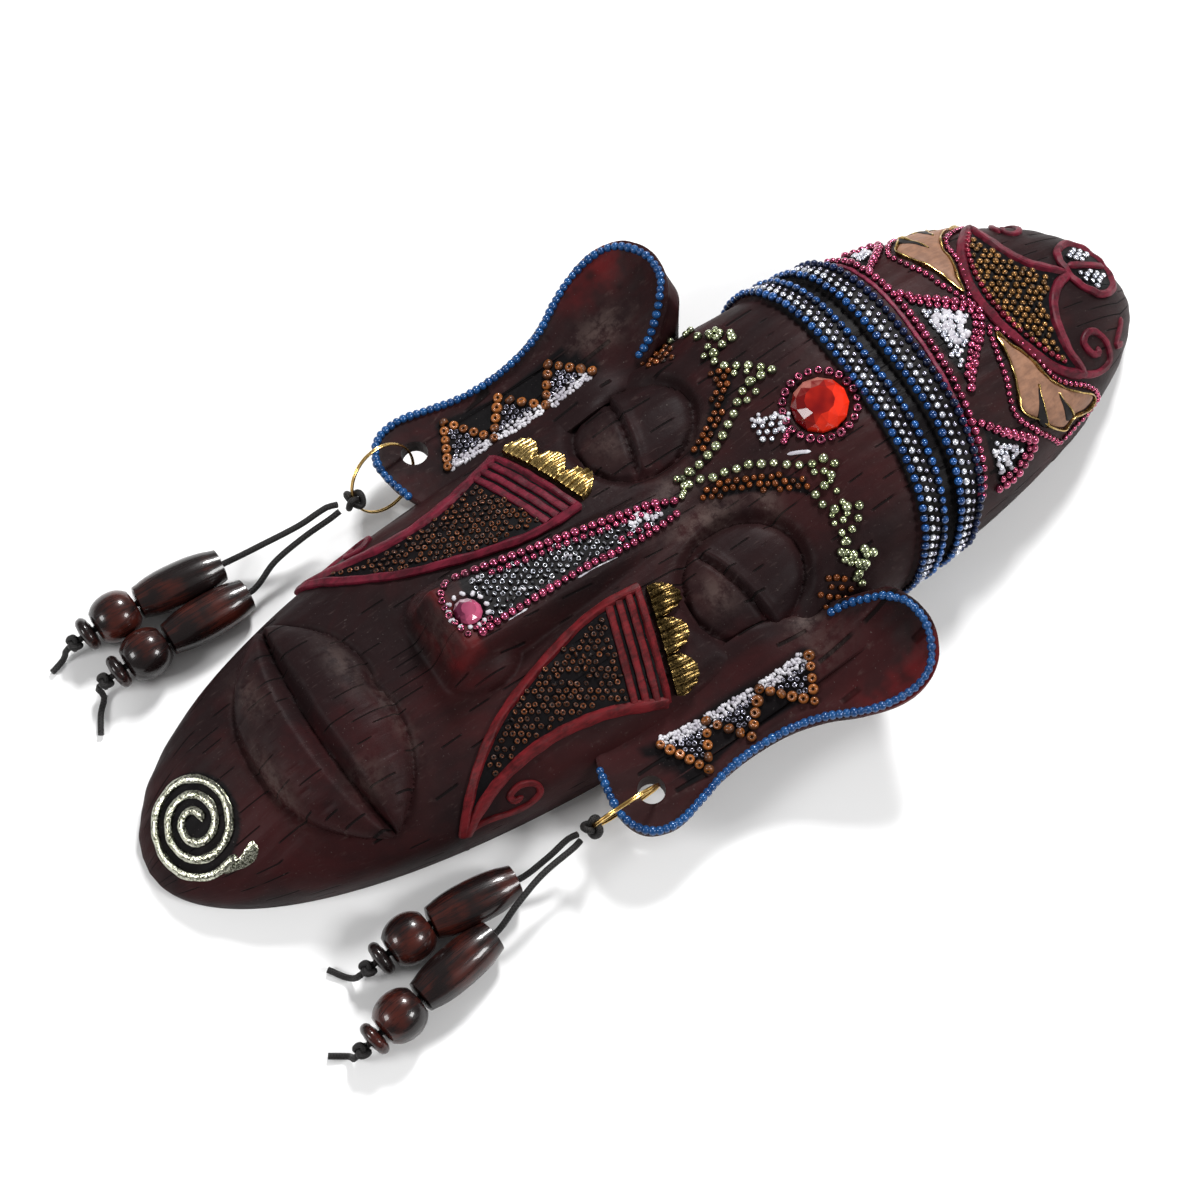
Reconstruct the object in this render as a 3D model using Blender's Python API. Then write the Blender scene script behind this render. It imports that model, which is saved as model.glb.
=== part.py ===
# A long-faced mask of cast resin in the African style, with flared ears and beaded tassels.
# It lies on its open back with the face up: Z points out of the face, Y to the crown and X to the viewer's right.
# All lengths are in metres.

import math

import bmesh
import bpy
from mathutils import Matrix, Vector

MM = 0.001

# Outline of the head
CHIN_Y = -182.8 * MM
CROWN_Y = 182.4 * MM
WIDEST_Y = -5.0 * MM
HALF_WIDTH = 52.5 * MM
CHIN_TAPER = (2.5, 2.0)
CROWN_TAPER = (2.6, 2.0)

# Height of the face and of the crown over the back rim
FACE_HEIGHT = 37.0 * MM
CROWN_HEIGHT = 47.5 * MM
BROW_FOOT_Y = 5.0 * MM
CROWN_TOP_Y = 70.0 * MM
CHIN_ROUNDING = (4.0, 1.4)

# Cross-section: how square the shoulders are, and how far the walls belly out
FACE_SQUARENESS = (2.25, 4.0)
CROWN_SQUARENESS = (2.85, 4.2)
FACE_BELLY = 0.02
CROWN_BELLY = 0.045
CROWN_SQUARE_Y = 80.0 * MM
BELLY_START_Y = -120.0 * MM
BELLY_RUN = 150.0 * MM

# Hollow back
WALL = 7.0 * MM

# Nose
NOSE_TOP_Y = 14.0 * MM
NOSE_TIP_Y = -72.0 * MM
NOSE_FRONT = 11.0 * MM
NOSE_HEIGHT = 17.0 * MM
NOSE_STRIP_TOP = 4.2 * MM
NOSE_STRIP_TIP = 10.8 * MM
NOSE_FLANK = 5.0 * MM
WING_X = 12.0 * MM
WING_Y = -69.0 * MM
WING_SIZE = (7.5 * MM, 12.0 * MM, 7.0 * MM)

# Mouth
MOUTH_Y = -116.5 * MM
MOUTH_HALF_WIDTH = 38.5 * MM
MOUTH_BOW = 4.5 * MM
UPPER_LIP = 19.0 * MM
LOWER_LIP = 24.5 * MM
LIP_HEIGHT = 6.0 * MM
MOUTH_GROOVE = 3.2 * MM

# Eyes
EYE_X = 31.0 * MM
EYE_Y = 12.5 * MM
EYE_HALF = (17.5 * MM, 18.5 * MM)
EYE_DOME = 5.0 * MM
SOCKET_HALF = (22.5 * MM, 24.5 * MM)
SOCKET_DEPTH = 3.6 * MM

# Headband: two raised bands across the forehead, whose ends drop to the chin, the right ones a little more
BAND_EDGES = ((72.9 * MM, 82.4 * MM), (86.8 * MM, 97.2 * MM))
BAND_HEIGHT = 1.8 * MM
BAND_BEVEL = 1.2 * MM
BAND_BOW = 13.0 * MM
BAND_TILT = 1.8 * MM
BAND_MARGIN = 2.0 * MM
BAND_FADE = 45.0 * MM

# Cheek blades: the inner and the outer edge, seen from the front, from the eye to the point, in millimetres
BLADE_INNER = ((16.5, -17.0), (13.5, -50.0), (27.0, -80.0), (47.0, -100.0))
BLADE_OUTER = ((48.0, -27.0), (38.5, -50.0), (38.0, -76.0), (47.4, -99.0))
BLADE_HEIGHT = 1.5 * MM
BLADE_END = 0.95
COMB_INNER = (17.0 * MM, -14.2 * MM)
COMB_OUTER = (47.6 * MM, -24.0 * MM)
COMB_DEPTH = 8.5 * MM
COMB_LOBES = 3

# Spiral on the chin
SPIRAL_Y = CHIN_Y + 18.8 * MM
SPIRAL_RADIUS = 15.0 * MM
SPIRAL_TURNS = 2.9
SPIRAL_END = 20.0
SPIRAL_RIBBON = 2.6 * MM
SPIRAL_HEIGHT = 1.4 * MM
SPIRAL_SLOPE = 0.85

# Leaf on the crown, placed from the crown's end
LEAF_FACE_Y = CROWN_Y - 56.4 * MM
LEAF_CORNER = (31.0 * MM, CROWN_Y - 39.9 * MM)
LEAF_WAIST_Y = CROWN_Y - 25.4 * MM
LEAF_HEIGHT = 1.4 * MM
LEAF_EYE_Y = CROWN_Y - 15.9 * MM
LEAF_EYE = (11.5 * MM, 8.5 * MM)

RELIEF_ROOT = 1.8 * MM

# Ears: the rim's outline on the viewer's right
EAR_RIM = (
    (46.0, -50.0), (54.0, -55.5), (61.0, -57.4), (70.4, -57.6), (77.0, -54.2), (80.0, -47.5), (79.8, -40.5),
    (76.6, -30.0), (75.0, -16.0), (76.0, -2.0), (79.6, 9.5), (84.6, 19.0), (88.6, 29.5), (88.8, 38.0),
    (85.0, 45.2), (76.5, 49.4), (67.0, 49.0), (59.0, 45.0), (52.5, 37.5), (46.0, 24.0), (43.0, 2.0), (43.5, -28.0),
)
EAR_BASE_Z = 19.5 * MM
EAR_START_Y = -45.0 * MM
EAR_SLOPE = 0.017
EAR_FLARE = 2.47 / 1000.0
EAR_LEAN = -0.146
EAR_LEAN_X = 66.7 * MM
EAR_INNER_X = 60.0 * MM
EAR_INNER_DROP = 0.95
EAR_RIM_WIDTH = 0.16
EAR_DISH = 4.5 * MM
EAR_EDGE = 2.6 * MM
EAR_BACK_DROP = 9.0 * MM
EAR_BACK_SWELL = 1.5 * MM
EAR_ROOT_X = 47.0 * MM
EAR_ROOT_Z = 11.0 * MM
EAR_SPINE = (68.0 * MM, -42.0 * MM, 32.0 * MM)
EAR_STEPS = 32
EAR_HOLE = (66.7 * MM, -45.1 * MM)
EAR_HOLE_RADIUS = 4.3 * MM
EAR_HOLE_TOP_Z = 40.0 * MM
EAR_DISH_START_Y = -40.0 * MM
EAR_DISH_RUN = 60.0 * MM
EAR_RIM_DROP = 0.6 * MM
EAR_DISH_SHARE = 0.6
EAR_DROP_START_Y = 5.0 * MM
EAR_DROP_RUN = 25.0 * MM
EAR_SWELL_START_Y = 25.0 * MM
EAR_SWELL_RUN = 20.0 * MM
EAR_LOBE_START_Y = -30.0 * MM
EAR_LOBE_RUN = 50.0 * MM

# Gems and the seats that they are set in
FOREHEAD_GEM_Y = 61.0 * MM
FOREHEAD_GEM_RADIUS = 9.0 * MM
FOREHEAD_GEM_HEIGHT = 5.0 * MM
NOSE_GEM_Y = -66.0 * MM
NOSE_GEM_RADIUS = 4.4 * MM
NOSE_GEM_HEIGHT = 2.6 * MM
SEAT_DEPTH = 1.4 * MM
FIT = 0.3 * MM

# Rings
RING_RADIUS = 11.8 * MM
RING_WIRE = 1.2 * MM
RING_PLACES = {
    "left": ((-65.5, -57.7, 17.0), (0.901, 0.163, 0.402)),
    "right": ((66.5, -54.2, 17.5), (0.979, -0.003, -0.202)),
}

# Cord and beads: diameter, length and the diameter of the flat end
CORD = 2.0 * MM
BORE = CORD + 2.0 * FIT
BARREL = (14.0 * MM, 29.0 * MM, 8.4 * MM)
ROUND = (15.8 * MM, 14.2 * MM, 6.4 * MM)
SAUCER = (11.2 * MM, 4.4 * MM, 5.0 * MM)
END_KNOT = (5.4 * MM, 4.4 * MM, 3.8 * MM)
RING_KNOT = (7.4 * MM, 6.0 * MM, 5.4 * MM)
RING_KNOT_BORE = 3.0 * MM
BEAD_GAP = 0.7 * MM
BEAD_LIFT = 0.35 * MM
PITCHES = {"barrel": 3.0, "round": 0.0, "saucer": -8.0, "end_knot": -16.0}

# Strands: the side, the cord's points before the barrel, the barrel's middle and the tail's points in millimetres,
# and the headings of the barrel and of the beads behind it in degrees
STRANDS = {
    "left_a": {
        "side": "left",
        "route": ((-67.6, -77.4, 14.8), (-68.0, -87.0, 12.6), (-70.0, -100.2, 9.8)),
        "barrel": (-73.8, -128.0),
        "headings": (-95.0, -89.0),
        "tail": ((-74.4, -170.4, 1.2), (-72.6, -175.4, 1.1)),
    },
    "left_b": {
        "side": "left",
        "route": ((-63.6, -78.2, 15.0), (-64.2, -88.0, 11.6), (-63.0, -99.5, 9.4)),
        "barrel": (-59.4, -126.2),
        "headings": (-89.5, -88.0),
        "tail": ((-56.6, -166.0, 1.2), (-52.4, -169.6, 1.1), (-46.4, -173.0, 1.1)),
    },
    "right_a": {
        "side": "right",
        "route": ((64.2, -73.4, 12.6), (65.0, -81.0, 10.0)),
        "barrel": (63.7, -106.8),
        "headings": (-95.0, -87.0),
        "tail": ((61.4, -149.6, 1.2), (55.6, -153.6, 1.1)),
    },
    "right_b": {
        "side": "right",
        "route": ((67.6, -73.3, 13.4), (69.4, -86.0, 13.2), (72.6, -97.0, 11.6)),
        "barrel": (77.6, -121.6),
        "headings": (-81.0, -80.5),
        "tail": ((81.6, -162.0, 1.2), (78.0, -167.2, 1.1)),
    },
}
CORD_STEP = 5.2 * MM

# How finely the forms are divided
STATIONS = 46
ACROSS = 28
INNER_STATIONS = 18
INNER_ACROSS = 6
BLADE_STEPS = 8
SPIRAL_STEPS = 12
LEAF_STEPS = 10
RING_STEPS = 26


def clear_scene():
    for thing in list(bpy.data.objects):
        bpy.data.objects.remove(thing, do_unlink=True)


def material(name, colour, roughness, metallic=0.0):
    made = bpy.data.materials.new(name)
    made.use_nodes = True
    shader = made.node_tree.nodes["Principled BSDF"]
    shader.inputs["Base Color"].default_value = (*colour, 1.0)
    shader.inputs["Roughness"].default_value = roughness
    shader.inputs["Metallic"].default_value = metallic
    made.diffuse_color = (*colour, 1.0)
    return made


def ease(value):
    value = min(max(value, 0.0), 1.0)
    return value * value * (3.0 - 2.0 * value)


def blend(a, b, share):
    return a + (b - a) * share


# Plain form of the head

def half_width(y):
    if y < WIDEST_Y:
        share = (WIDEST_Y - y) / (WIDEST_Y - CHIN_Y)
        power, root = CHIN_TAPER
    else:
        share = (y - WIDEST_Y) / (CROWN_Y - WIDEST_Y)
        power, root = CROWN_TAPER
    return HALF_WIDTH * max(1.0 - share ** power, 0.0) ** (1.0 / root)


def crest(y):
    if y < WIDEST_Y:
        share = (WIDEST_Y - y) / (WIDEST_Y - CHIN_Y)
        power, root = CHIN_ROUNDING
        return FACE_HEIGHT * max(1.0 - share ** power, 0.0) ** (1.0 / root)
    if y < CROWN_TOP_Y:
        rise = ease((y - BROW_FOOT_Y) / (CROWN_TOP_Y - BROW_FOOT_Y))
        return blend(FACE_HEIGHT, CROWN_HEIGHT, rise)
    share = (y - CROWN_TOP_Y) / (CROWN_Y - CROWN_TOP_Y)
    return CROWN_HEIGHT * math.sqrt(max(1.0 - share ** 2, 0.0))


def skin(girth, y):
    # girth runs from -1 at the left rim over 0 on the crest to 1 at the right rim
    crownward = ease(y / CROWN_SQUARE_Y)
    sideways = blend(FACE_SQUARENESS[0], CROWN_SQUARENESS[0], crownward)
    upward = blend(FACE_SQUARENESS[1], CROWN_SQUARENESS[1], crownward)
    angle = abs(girth) * math.pi / 2.0
    lift = math.cos(angle) ** (2.0 / upward) if abs(girth) < 1.0 else 0.0
    belly = blend(FACE_BELLY, CROWN_BELLY, ease((y - BELLY_START_Y) / BELLY_RUN))
    reach = math.sin(angle) ** (2.0 / sideways)
    reach *= 1.0 + belly * math.sin(math.pi * min(lift / 0.9, 1.0))
    return Vector((math.copysign(half_width(y) * reach, girth), y, crest(y) * lift))


def normal_at(girth, y):
    step = 0.004
    run = 0.4 * MM
    girth = min(max(girth, step - 1.0), 1.0 - step)
    y = min(max(y, CHIN_Y + 2.0 * run), CROWN_Y - 2.0 * run)
    across = skin(girth + step, y) - skin(girth - step, y)
    along = skin(girth, y + run) - skin(girth, y - run)
    return across.cross(along).normalized()


def girth_at(x, y):
    low, high = 0.0, 0.8
    for _ in range(24):
        middle = (low + high) / 2.0
        if skin(middle, y).x < abs(x):
            low = middle
        else:
            high = middle
    return math.copysign(low, x)


# Carving, as heights over the plain form

def nose_carving(x, y):
    if y > NOSE_TOP_Y or y < NOSE_TIP_Y - NOSE_FRONT:
        return 0.0
    down = (NOSE_TOP_Y - y) / (NOSE_TOP_Y - NOSE_TIP_Y)
    if down <= 1.0:
        height = NOSE_HEIGHT * down ** 1.15
    else:
        height = NOSE_HEIGHT * ease(1.0 - (NOSE_TIP_Y - y) / NOSE_FRONT)
    flat = blend(NOSE_STRIP_TOP, NOSE_STRIP_TIP, min(down, 1.0))
    return height * (1.0 - ease((abs(x) - flat) / NOSE_FLANK))


def wing_carving(x, y):
    wide, long, high = WING_SIZE
    off = ((abs(x) - WING_X) / wide) ** 2 + ((y - WING_Y) / long) ** 2
    return high * math.sqrt(max(1.0 - off, 0.0))


def lip_carving(x, y):
    across = abs(x) / MOUTH_HALF_WIDTH
    if across >= 1.0:
        return 0.0
    fullness = (1.0 - across ** 2.6) ** 0.8
    line = MOUTH_Y - MOUTH_BOW * (1.0 - across ** 2)
    edge = MOUTH_Y + (UPPER_LIP if y > line else -LOWER_LIP) * fullness
    off = (y - line) / (edge - line)
    if off >= 1.0:
        return 0.0
    mound = LIP_HEIGHT * fullness ** 0.5 * (1.0 - off ** 2.6)
    groove = MOUTH_GROOVE * fullness ** 0.5 * (1.0 - ease(off / 0.22))
    return mound - groove


def eye_carving(x, y):
    socket = math.hypot((abs(x) - EYE_X) / SOCKET_HALF[0], (y - EYE_Y) / SOCKET_HALF[1])
    if socket >= 1.0:
        return 0.0
    dome = math.hypot((abs(x) - EYE_X) / EYE_HALF[0], (y - EYE_Y) / EYE_HALF[1])
    hollow = SOCKET_DEPTH * (1.0 - ease((socket - 0.72) / 0.28))
    return EYE_DOME * math.sqrt(max(1.0 - dome ** 2, 0.0)) - hollow


def band_drop(girth):
    return BAND_BOW * girth ** 2 + BAND_TILT * girth


def band_carving(girth, y):
    height = 0.0
    level = y + band_drop(girth)
    for start, end in BAND_EDGES:
        inside = min(level - start, end - level)
        height = max(height, BAND_HEIGHT * min(max(inside / BAND_BEVEL, 0.0), 1.0))
    return height


def carved(girth, y):
    point = skin(girth, y)
    if abs(girth) >= 1.0:
        return point
    raised = eye_carving(point.x, y) + lip_carving(point.x, y)
    upright = max(nose_carving(point.x, y), wing_carving(point.x, y) if abs(girth) < 0.6 else 0.0)
    edge = min((1.0 - abs(girth)) / 0.06, 1.0)
    point += normal_at(girth, y) * (raised + band_carving(girth, y) * edge)
    point.z += upright
    return point


# Mesh helpers

def new_object(name, mesh, finish, smooth=True):
    thing = bpy.data.objects.new(name, mesh)
    bpy.context.scene.collection.objects.link(thing)
    mesh.materials.append(finish)
    for face in mesh.polygons:
        face.use_smooth = smooth
    return thing


def close_mesh(name, shape):
    bmesh.ops.remove_doubles(shape, verts=shape.verts, dist=0.002 * MM)
    bmesh.ops.recalc_face_normals(shape, faces=shape.faces)
    mesh = bpy.data.meshes.new(name)
    shape.to_mesh(mesh)
    shape.free()
    return mesh


def join_rows(shape, rows, loop=False):
    for first, second in zip(rows, rows[1:]):
        count = len(first)
        for i in range(count if loop else count - 1):
            j = (i + 1) % count
            corners = []
            for corner in (first[i], first[j], second[j], second[i]):
                if corner not in corners:
                    corners.append(corner)
            if len(corners) > 2:
                shape.faces.new(corners)


def apply_boolean(target, tool, operation):
    step = target.modifiers.new(operation.lower(), "BOOLEAN")
    step.operation = operation
    step.solver = "EXACT"
    step.object = tool
    bpy.context.view_layer.objects.active = target
    bpy.ops.object.modifier_apply(modifier=step.name)
    bpy.data.objects.remove(tool, do_unlink=True)


# Head

def stations():
    # rows lie closer together at both ends, where the form turns down, and on the edges of the bands
    rows = []
    for i in range(STATIONS + 1):
        share = i / STATIONS
        rows.append(blend(CHIN_Y, CROWN_Y, 0.72 * share + 0.28 * ease(share)))
    edges = []
    for start, end in BAND_EDGES:
        edges += [start, start + BAND_BEVEL, end - BAND_BEVEL, end]
    low, high = edges[0] - BAND_MARGIN, edges[-1] + BAND_MARGIN
    rows = [y for y in rows if y < low or y > high]
    return sorted(rows + edges)


def bowed(girth, y):
    # near the bands a row of the head runs along with them
    low, high = BAND_EDGES[0][0] - BAND_MARGIN, BAND_EDGES[-1][1] + BAND_MARGIN
    share = min(ease((y - low) / BAND_FADE + 1.0), ease((high - y) / BAND_FADE + 1.0))
    return y - band_drop(girth) * share


def head_mesh():
    shape = bmesh.new()
    outer = []
    for y in stations():
        if y in (CHIN_Y, CROWN_Y):
            outer.append([shape.verts.new((0.0, y, 0.0))] * (ACROSS + 1))
        else:
            girths = [2.0 * j / ACROSS - 1.0 for j in range(ACROSS + 1)]
            outer.append([shape.verts.new(carved(girth, bowed(girth, y))) for girth in girths])
    join_rows(shape, outer)
    inner = []
    first, last = CHIN_Y + WALL, CROWN_Y - WALL
    for i in range(INNER_STATIONS + 1):
        share = i / INNER_STATIONS
        y = blend(first, last, 0.5 * share + 0.5 * ease(share))
        row = []
        for j in range(INNER_ACROSS + 1):
            girth = 2.0 * j / INNER_ACROSS - 1.0
            point = skin(girth, y)
            point.x *= max(half_width(y) - WALL, 0.0) / half_width(y)
            point.z *= max(crest(y) - WALL, 0.0) / crest(y)
            row.append(shape.verts.new(point))
        if i in (0, INNER_STATIONS):
            for vert in row[1:]:
                shape.verts.remove(vert)
            row[0].co = (0.0, y, 0.0)
            row = [row[0]] * (INNER_ACROSS + 1)
        inner.append(row)
    join_rows(shape, inner)
    for side in (0, -1):
        rim(shape, [row[side] for row in outer], [row[side] for row in inner])
    return close_mesh("mask_body", shape)


def rim(shape, outer, inner):
    # the flat back rim between the outer and the inner edge, closed with triangles
    i, j = 0, 0
    while i < len(outer) - 1 or j < len(inner) - 1:
        ahead = j == len(inner) - 1
        if i < len(outer) - 1 and j < len(inner) - 1:
            ahead = outer[i + 1].co.y - inner[j].co.y < inner[j + 1].co.y - outer[i].co.y
        if ahead:
            shape.faces.new((outer[i], outer[i + 1], inner[j]))
            i += 1
        else:
            shape.faces.new((outer[i], inner[j + 1], inner[j]))
            j += 1


# Raised plates that lie on the head

def relief(name, pairs, columns, height, finish):
    # each pair holds the two edges of a strip, in X and Y, and the strip follows the head between them
    shape = bmesh.new()
    tops, roots = [], []
    for (x0, y0), (x1, y1) in pairs:
        top, root = [], []
        for k in range(columns + 1):
            x, y = blend(x0, x1, k / columns), blend(y0, y1, k / columns)
            girth = girth_at(x, y)
            point, out = skin(girth, y), normal_at(girth, y)
            top.append(shape.verts.new(point + out * height))
            root.append(shape.verts.new(point - out * RELIEF_ROOT))
        tops.append(top)
        roots.append(root)
    join_rows(shape, tops)
    join_rows(shape, roots)
    for k in (0, -1):
        join_rows(shape, [[row[k] for row in tops], [row[k] for row in roots]])
        join_rows(shape, [tops[k], roots[k]])
    return new_object(name, close_mesh(name, shape), finish)


def bend(route, share):
    # a point on the cubic curve through the first and the last point of the route
    rest = 1.0 - share
    weights = (rest ** 3, 3.0 * rest ** 2 * share, 3.0 * rest * share ** 2, share ** 3)
    return [MM * sum(w * point[axis] for w, point in zip(weights, route)) for axis in (0, 1)]


def blade_pairs(side):
    pairs = []
    for i in range(BLADE_STEPS + 1):
        share = BLADE_END * i / BLADE_STEPS
        (x_in, y_in), (x_out, y_out) = bend(BLADE_INNER, share), bend(BLADE_OUTER, share)
        pairs.append(((side * x_in, y_in), (side * x_out, y_out)))
    return pairs


def comb_pairs(side):
    pairs = []
    steps = 4 * COMB_LOBES
    for i in range(steps + 1):
        share = i / steps
        x, y = blend(COMB_INNER[0], COMB_OUTER[0], share), blend(COMB_INNER[1], COMB_OUTER[1], share)
        lobe = COMB_DEPTH * (0.35 + 0.65 * abs(math.sin(math.pi * COMB_LOBES * share)))
        pairs.append(((side * x, y), (side * (x + 0.25 * lobe), y + 0.95 * lobe)))
    return pairs


def spiral_pairs():
    pairs = []
    steps = int(SPIRAL_STEPS * SPIRAL_TURNS)
    for i in range(steps + 1):
        share = i / steps
        angle = math.radians(SPIRAL_END) - 2.0 * math.pi * SPIRAL_TURNS * (1.0 - share)
        middle = blend(SPIRAL_RIBBON * 0.9, SPIRAL_RADIUS, share)
        ends = []
        for reach in (middle - SPIRAL_RIBBON / 2.0, middle + SPIRAL_RIBBON / 2.0):
            ends.append((reach * math.cos(angle), SPIRAL_Y + SPIRAL_SLOPE * reach * math.sin(angle)))
        pairs.append(tuple(ends))
    return pairs


def leaf_pairs():
    pairs = []
    for i in range(LEAF_STEPS + 1):
        across = 2.0 * i / LEAF_STEPS - 1.0
        x = LEAF_CORNER[0] * across
        near = blend(LEAF_FACE_Y, LEAF_CORNER[1], abs(across) ** 1.8)
        far = blend(LEAF_WAIST_Y, LEAF_CORNER[1] + 1.5 * MM, abs(across) ** 0.6)
        pairs.append(((x, near), (x, far)))
    return pairs


def leaf_eye_pairs():
    pairs = []
    for i in range(LEAF_STEPS + 1):
        across = 0.98 * (2.0 * i / LEAF_STEPS - 1.0)
        half = LEAF_EYE[1] * math.sqrt(1.0 - across ** 2)
        x = LEAF_EYE[0] * across
        pairs.append(((x, LEAF_EYE_Y - half), (x, LEAF_EYE_Y + half)))
    return pairs


# Ears

def ear_z(x, y):
    run = y - EAR_START_Y
    z = EAR_BASE_Z + EAR_SLOPE * run + EAR_FLARE * run * run / MM + EAR_LEAN * (x - EAR_LEAN_X)
    return z - EAR_INNER_DROP * max(EAR_INNER_X - x, 0.0) * ease((y - EAR_DROP_START_Y) / EAR_DROP_RUN)


def smooth_loop(points, count):
    # a closed curve through the points, read off at even steps
    size = len(points)
    loop = []
    for i in range(count):
        place = i * size / count
        k = int(place)
        t = place - k
        p = [Vector(points[(k + n) % size]) for n in (-1, 0, 1, 2)]
        loop.append(0.5 * (2.0 * p[1] + (p[2] - p[0]) * t
                           + (2.0 * p[0] - 5.0 * p[1] + 4.0 * p[2] - p[3]) * t ** 2
                           + (3.0 * p[1] - p[0] - 3.0 * p[2] + p[3]) * t ** 3))
    return loop


def ear(side, finish):
    outline = smooth_loop([(x * MM, y * MM) for x, y in EAR_RIM], EAR_STEPS)
    spine_x, spine_low, spine_high = EAR_SPINE
    rim_top, rim_in, dish, edge, back, root = [], [], [], [], [], []
    for point in outline:
        x, y = point
        spine_y = min(max(y, spine_low), spine_high)
        deepen = ease((y - EAR_DISH_START_Y) / EAR_DISH_RUN)
        rim_top.append((x, y, ear_z(x, y)))
        for loop, share, drop in ((rim_in, EAR_RIM_WIDTH, EAR_RIM_DROP), (dish, EAR_DISH_SHARE, EAR_DISH)):
            px, py = blend(x, spine_x, share), blend(y, spine_y, share)
            loop.append((px, py, ear_z(px, py) - drop * (deepen if loop is dish else 1.0)))
        edge.append((x, y, ear_z(x, y) - EAR_EDGE))
        swell = EAR_BACK_SWELL * ease((y - EAR_SWELL_START_Y) / EAR_SWELL_RUN)
        lobe = ease((y - EAR_LOBE_START_Y) / EAR_LOBE_RUN)
        back_x = blend(blend(x, EAR_ROOT_X, 0.12), blend(x, EAR_ROOT_X, 0.3), lobe)
        drop = blend(EAR_EDGE * 1.3, EAR_BACK_DROP, lobe)
        back.append((back_x, y * blend(0.97, 1.0, lobe) + swell, ear_z(x, y) - drop))
        root.append((blend(x, EAR_ROOT_X, blend(0.25, 0.72, lobe)), y * 0.9 + swell, EAR_ROOT_Z))
    shape = bmesh.new()
    rows = []
    for loop in (dish, rim_in, rim_top, edge, back, root):
        rows.append([shape.verts.new((-x, y, z)) for x, y, z in loop])
    join_rows(shape, rows, loop=True)
    caps = [shape.faces.new(rows[0]), shape.faces.new(rows[-1])]
    bmesh.ops.triangulate(shape, faces=caps, ngon_method="EAR_CLIP")
    for vert in shape.verts:
        vert.co.x *= -side
    return new_object("ear", close_mesh("ear", shape), finish)


def drill(target, base, top, radius, sides):
    direction = top - base
    bpy.ops.mesh.primitive_cylinder_add(vertices=sides, radius=radius, depth=direction.length)
    tool = bpy.context.active_object
    tool.matrix_world = frame_at((base + top) / 2.0, direction)
    bpy.context.view_layer.update()
    apply_boolean(target, tool, "DIFFERENCE")


def frame_at(place, axis):
    # a matrix that puts an object's own Z along the axis
    return Matrix.Translation(place) @ Vector(axis).normalized().to_track_quat("Z", "Y").to_matrix().to_4x4()


# Gems

def gem_place(y):
    top = carved(0.0, y)
    slope = carved(0.0, y + 2.0 * MM) - carved(0.0, y - 2.0 * MM)
    return top, Vector((1.0, 0.0, 0.0)).cross(slope).normalized()


def gem(name, y, radius, height, finish):
    place, up = gem_place(y)
    shape = bmesh.new()
    sides = 12
    rows = []
    for share, level, twist in ((1.0, 0.0, 0.0), (1.0, 0.28, 0.0), (0.82, 0.68, 0.5), (0.52, 1.0, 0.0)):
        row = []
        for i in range(sides):
            angle = 2.0 * math.pi * (i + twist) / sides
            row.append(shape.verts.new((radius * share * math.cos(angle), radius * share * math.sin(angle),
                                        height * level)))
        rows.append(row)
    join_rows(shape, rows, loop=True)
    shape.faces.new(rows[0])
    shape.faces.new(rows[-1])
    bmesh.ops.triangulate(shape, faces=shape.faces)
    thing = new_object(name, close_mesh(name, shape), finish, smooth=False)
    thing.matrix_world = frame_at(place - up * (SEAT_DEPTH - FIT), up)
    return thing


def seat(body, y, radius):
    place, up = gem_place(y)
    drill(body, place - up * SEAT_DEPTH, place + up * 6.0 * MM, radius + FIT, 24)


# Rings, cords and beads

def ring(side, finish):
    centre, axis = RING_PLACES[side]
    bpy.ops.mesh.primitive_torus_add(major_segments=RING_STEPS, minor_segments=6, major_radius=RING_RADIUS,
                                     minor_radius=RING_WIRE / 2.0)
    thing = bpy.context.active_object
    thing.name = "ring_" + side
    thing.data.materials.append(finish)
    for face in thing.data.polygons:
        face.use_smooth = True
    thing.matrix_world = frame_at(Vector(centre) * MM, axis)
    return thing


def ring_knot_place(side):
    # the ring's point nearest the chin, and the way along the wire there
    centre, axis = RING_PLACES[side]
    axis = Vector(axis).normalized()
    chinward = Vector((0.0, -1.0, 0.0))
    outward = (chinward - axis * chinward.dot(axis)).normalized()
    return Vector(centre) * MM + outward * RING_RADIUS, axis.cross(outward), outward


def bead(name, sizes, bore, place, axis, finish, sides, rounds):
    width, length, end_width = sizes
    shape = bmesh.new()
    profile = [(bore / 2.0, -length / 2.0), (bore / 2.0, length / 2.0)]
    for i in range(rounds + 1):
        share = 1.0 - 2.0 * i / rounds
        swell = math.sqrt(1.0 - share * share)
        profile.append((blend(end_width, width, swell) / 2.0, length / 2.0 * share))
    rows = []
    for i in range(sides):
        angle = 2.0 * math.pi * i / sides
        rows.append([shape.verts.new((r * math.cos(angle), r * math.sin(angle), z)) for r, z in profile])
    for first, second in zip(rows, rows[1:] + rows[:1]):
        for i in range(len(profile)):
            j = (i + 1) % len(profile)
            shape.faces.new((first[i], first[j], second[j], second[i]))
    thing = new_object(name, close_mesh(name, shape), finish)
    thing.matrix_world = frame_at(place, axis)
    return thing


def way_of(heading, pitch):
    turn, rise = math.radians(heading), math.radians(pitch)
    return Vector((math.cos(turn) * math.cos(rise), math.sin(turn) * math.cos(rise), math.sin(rise)))


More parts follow.
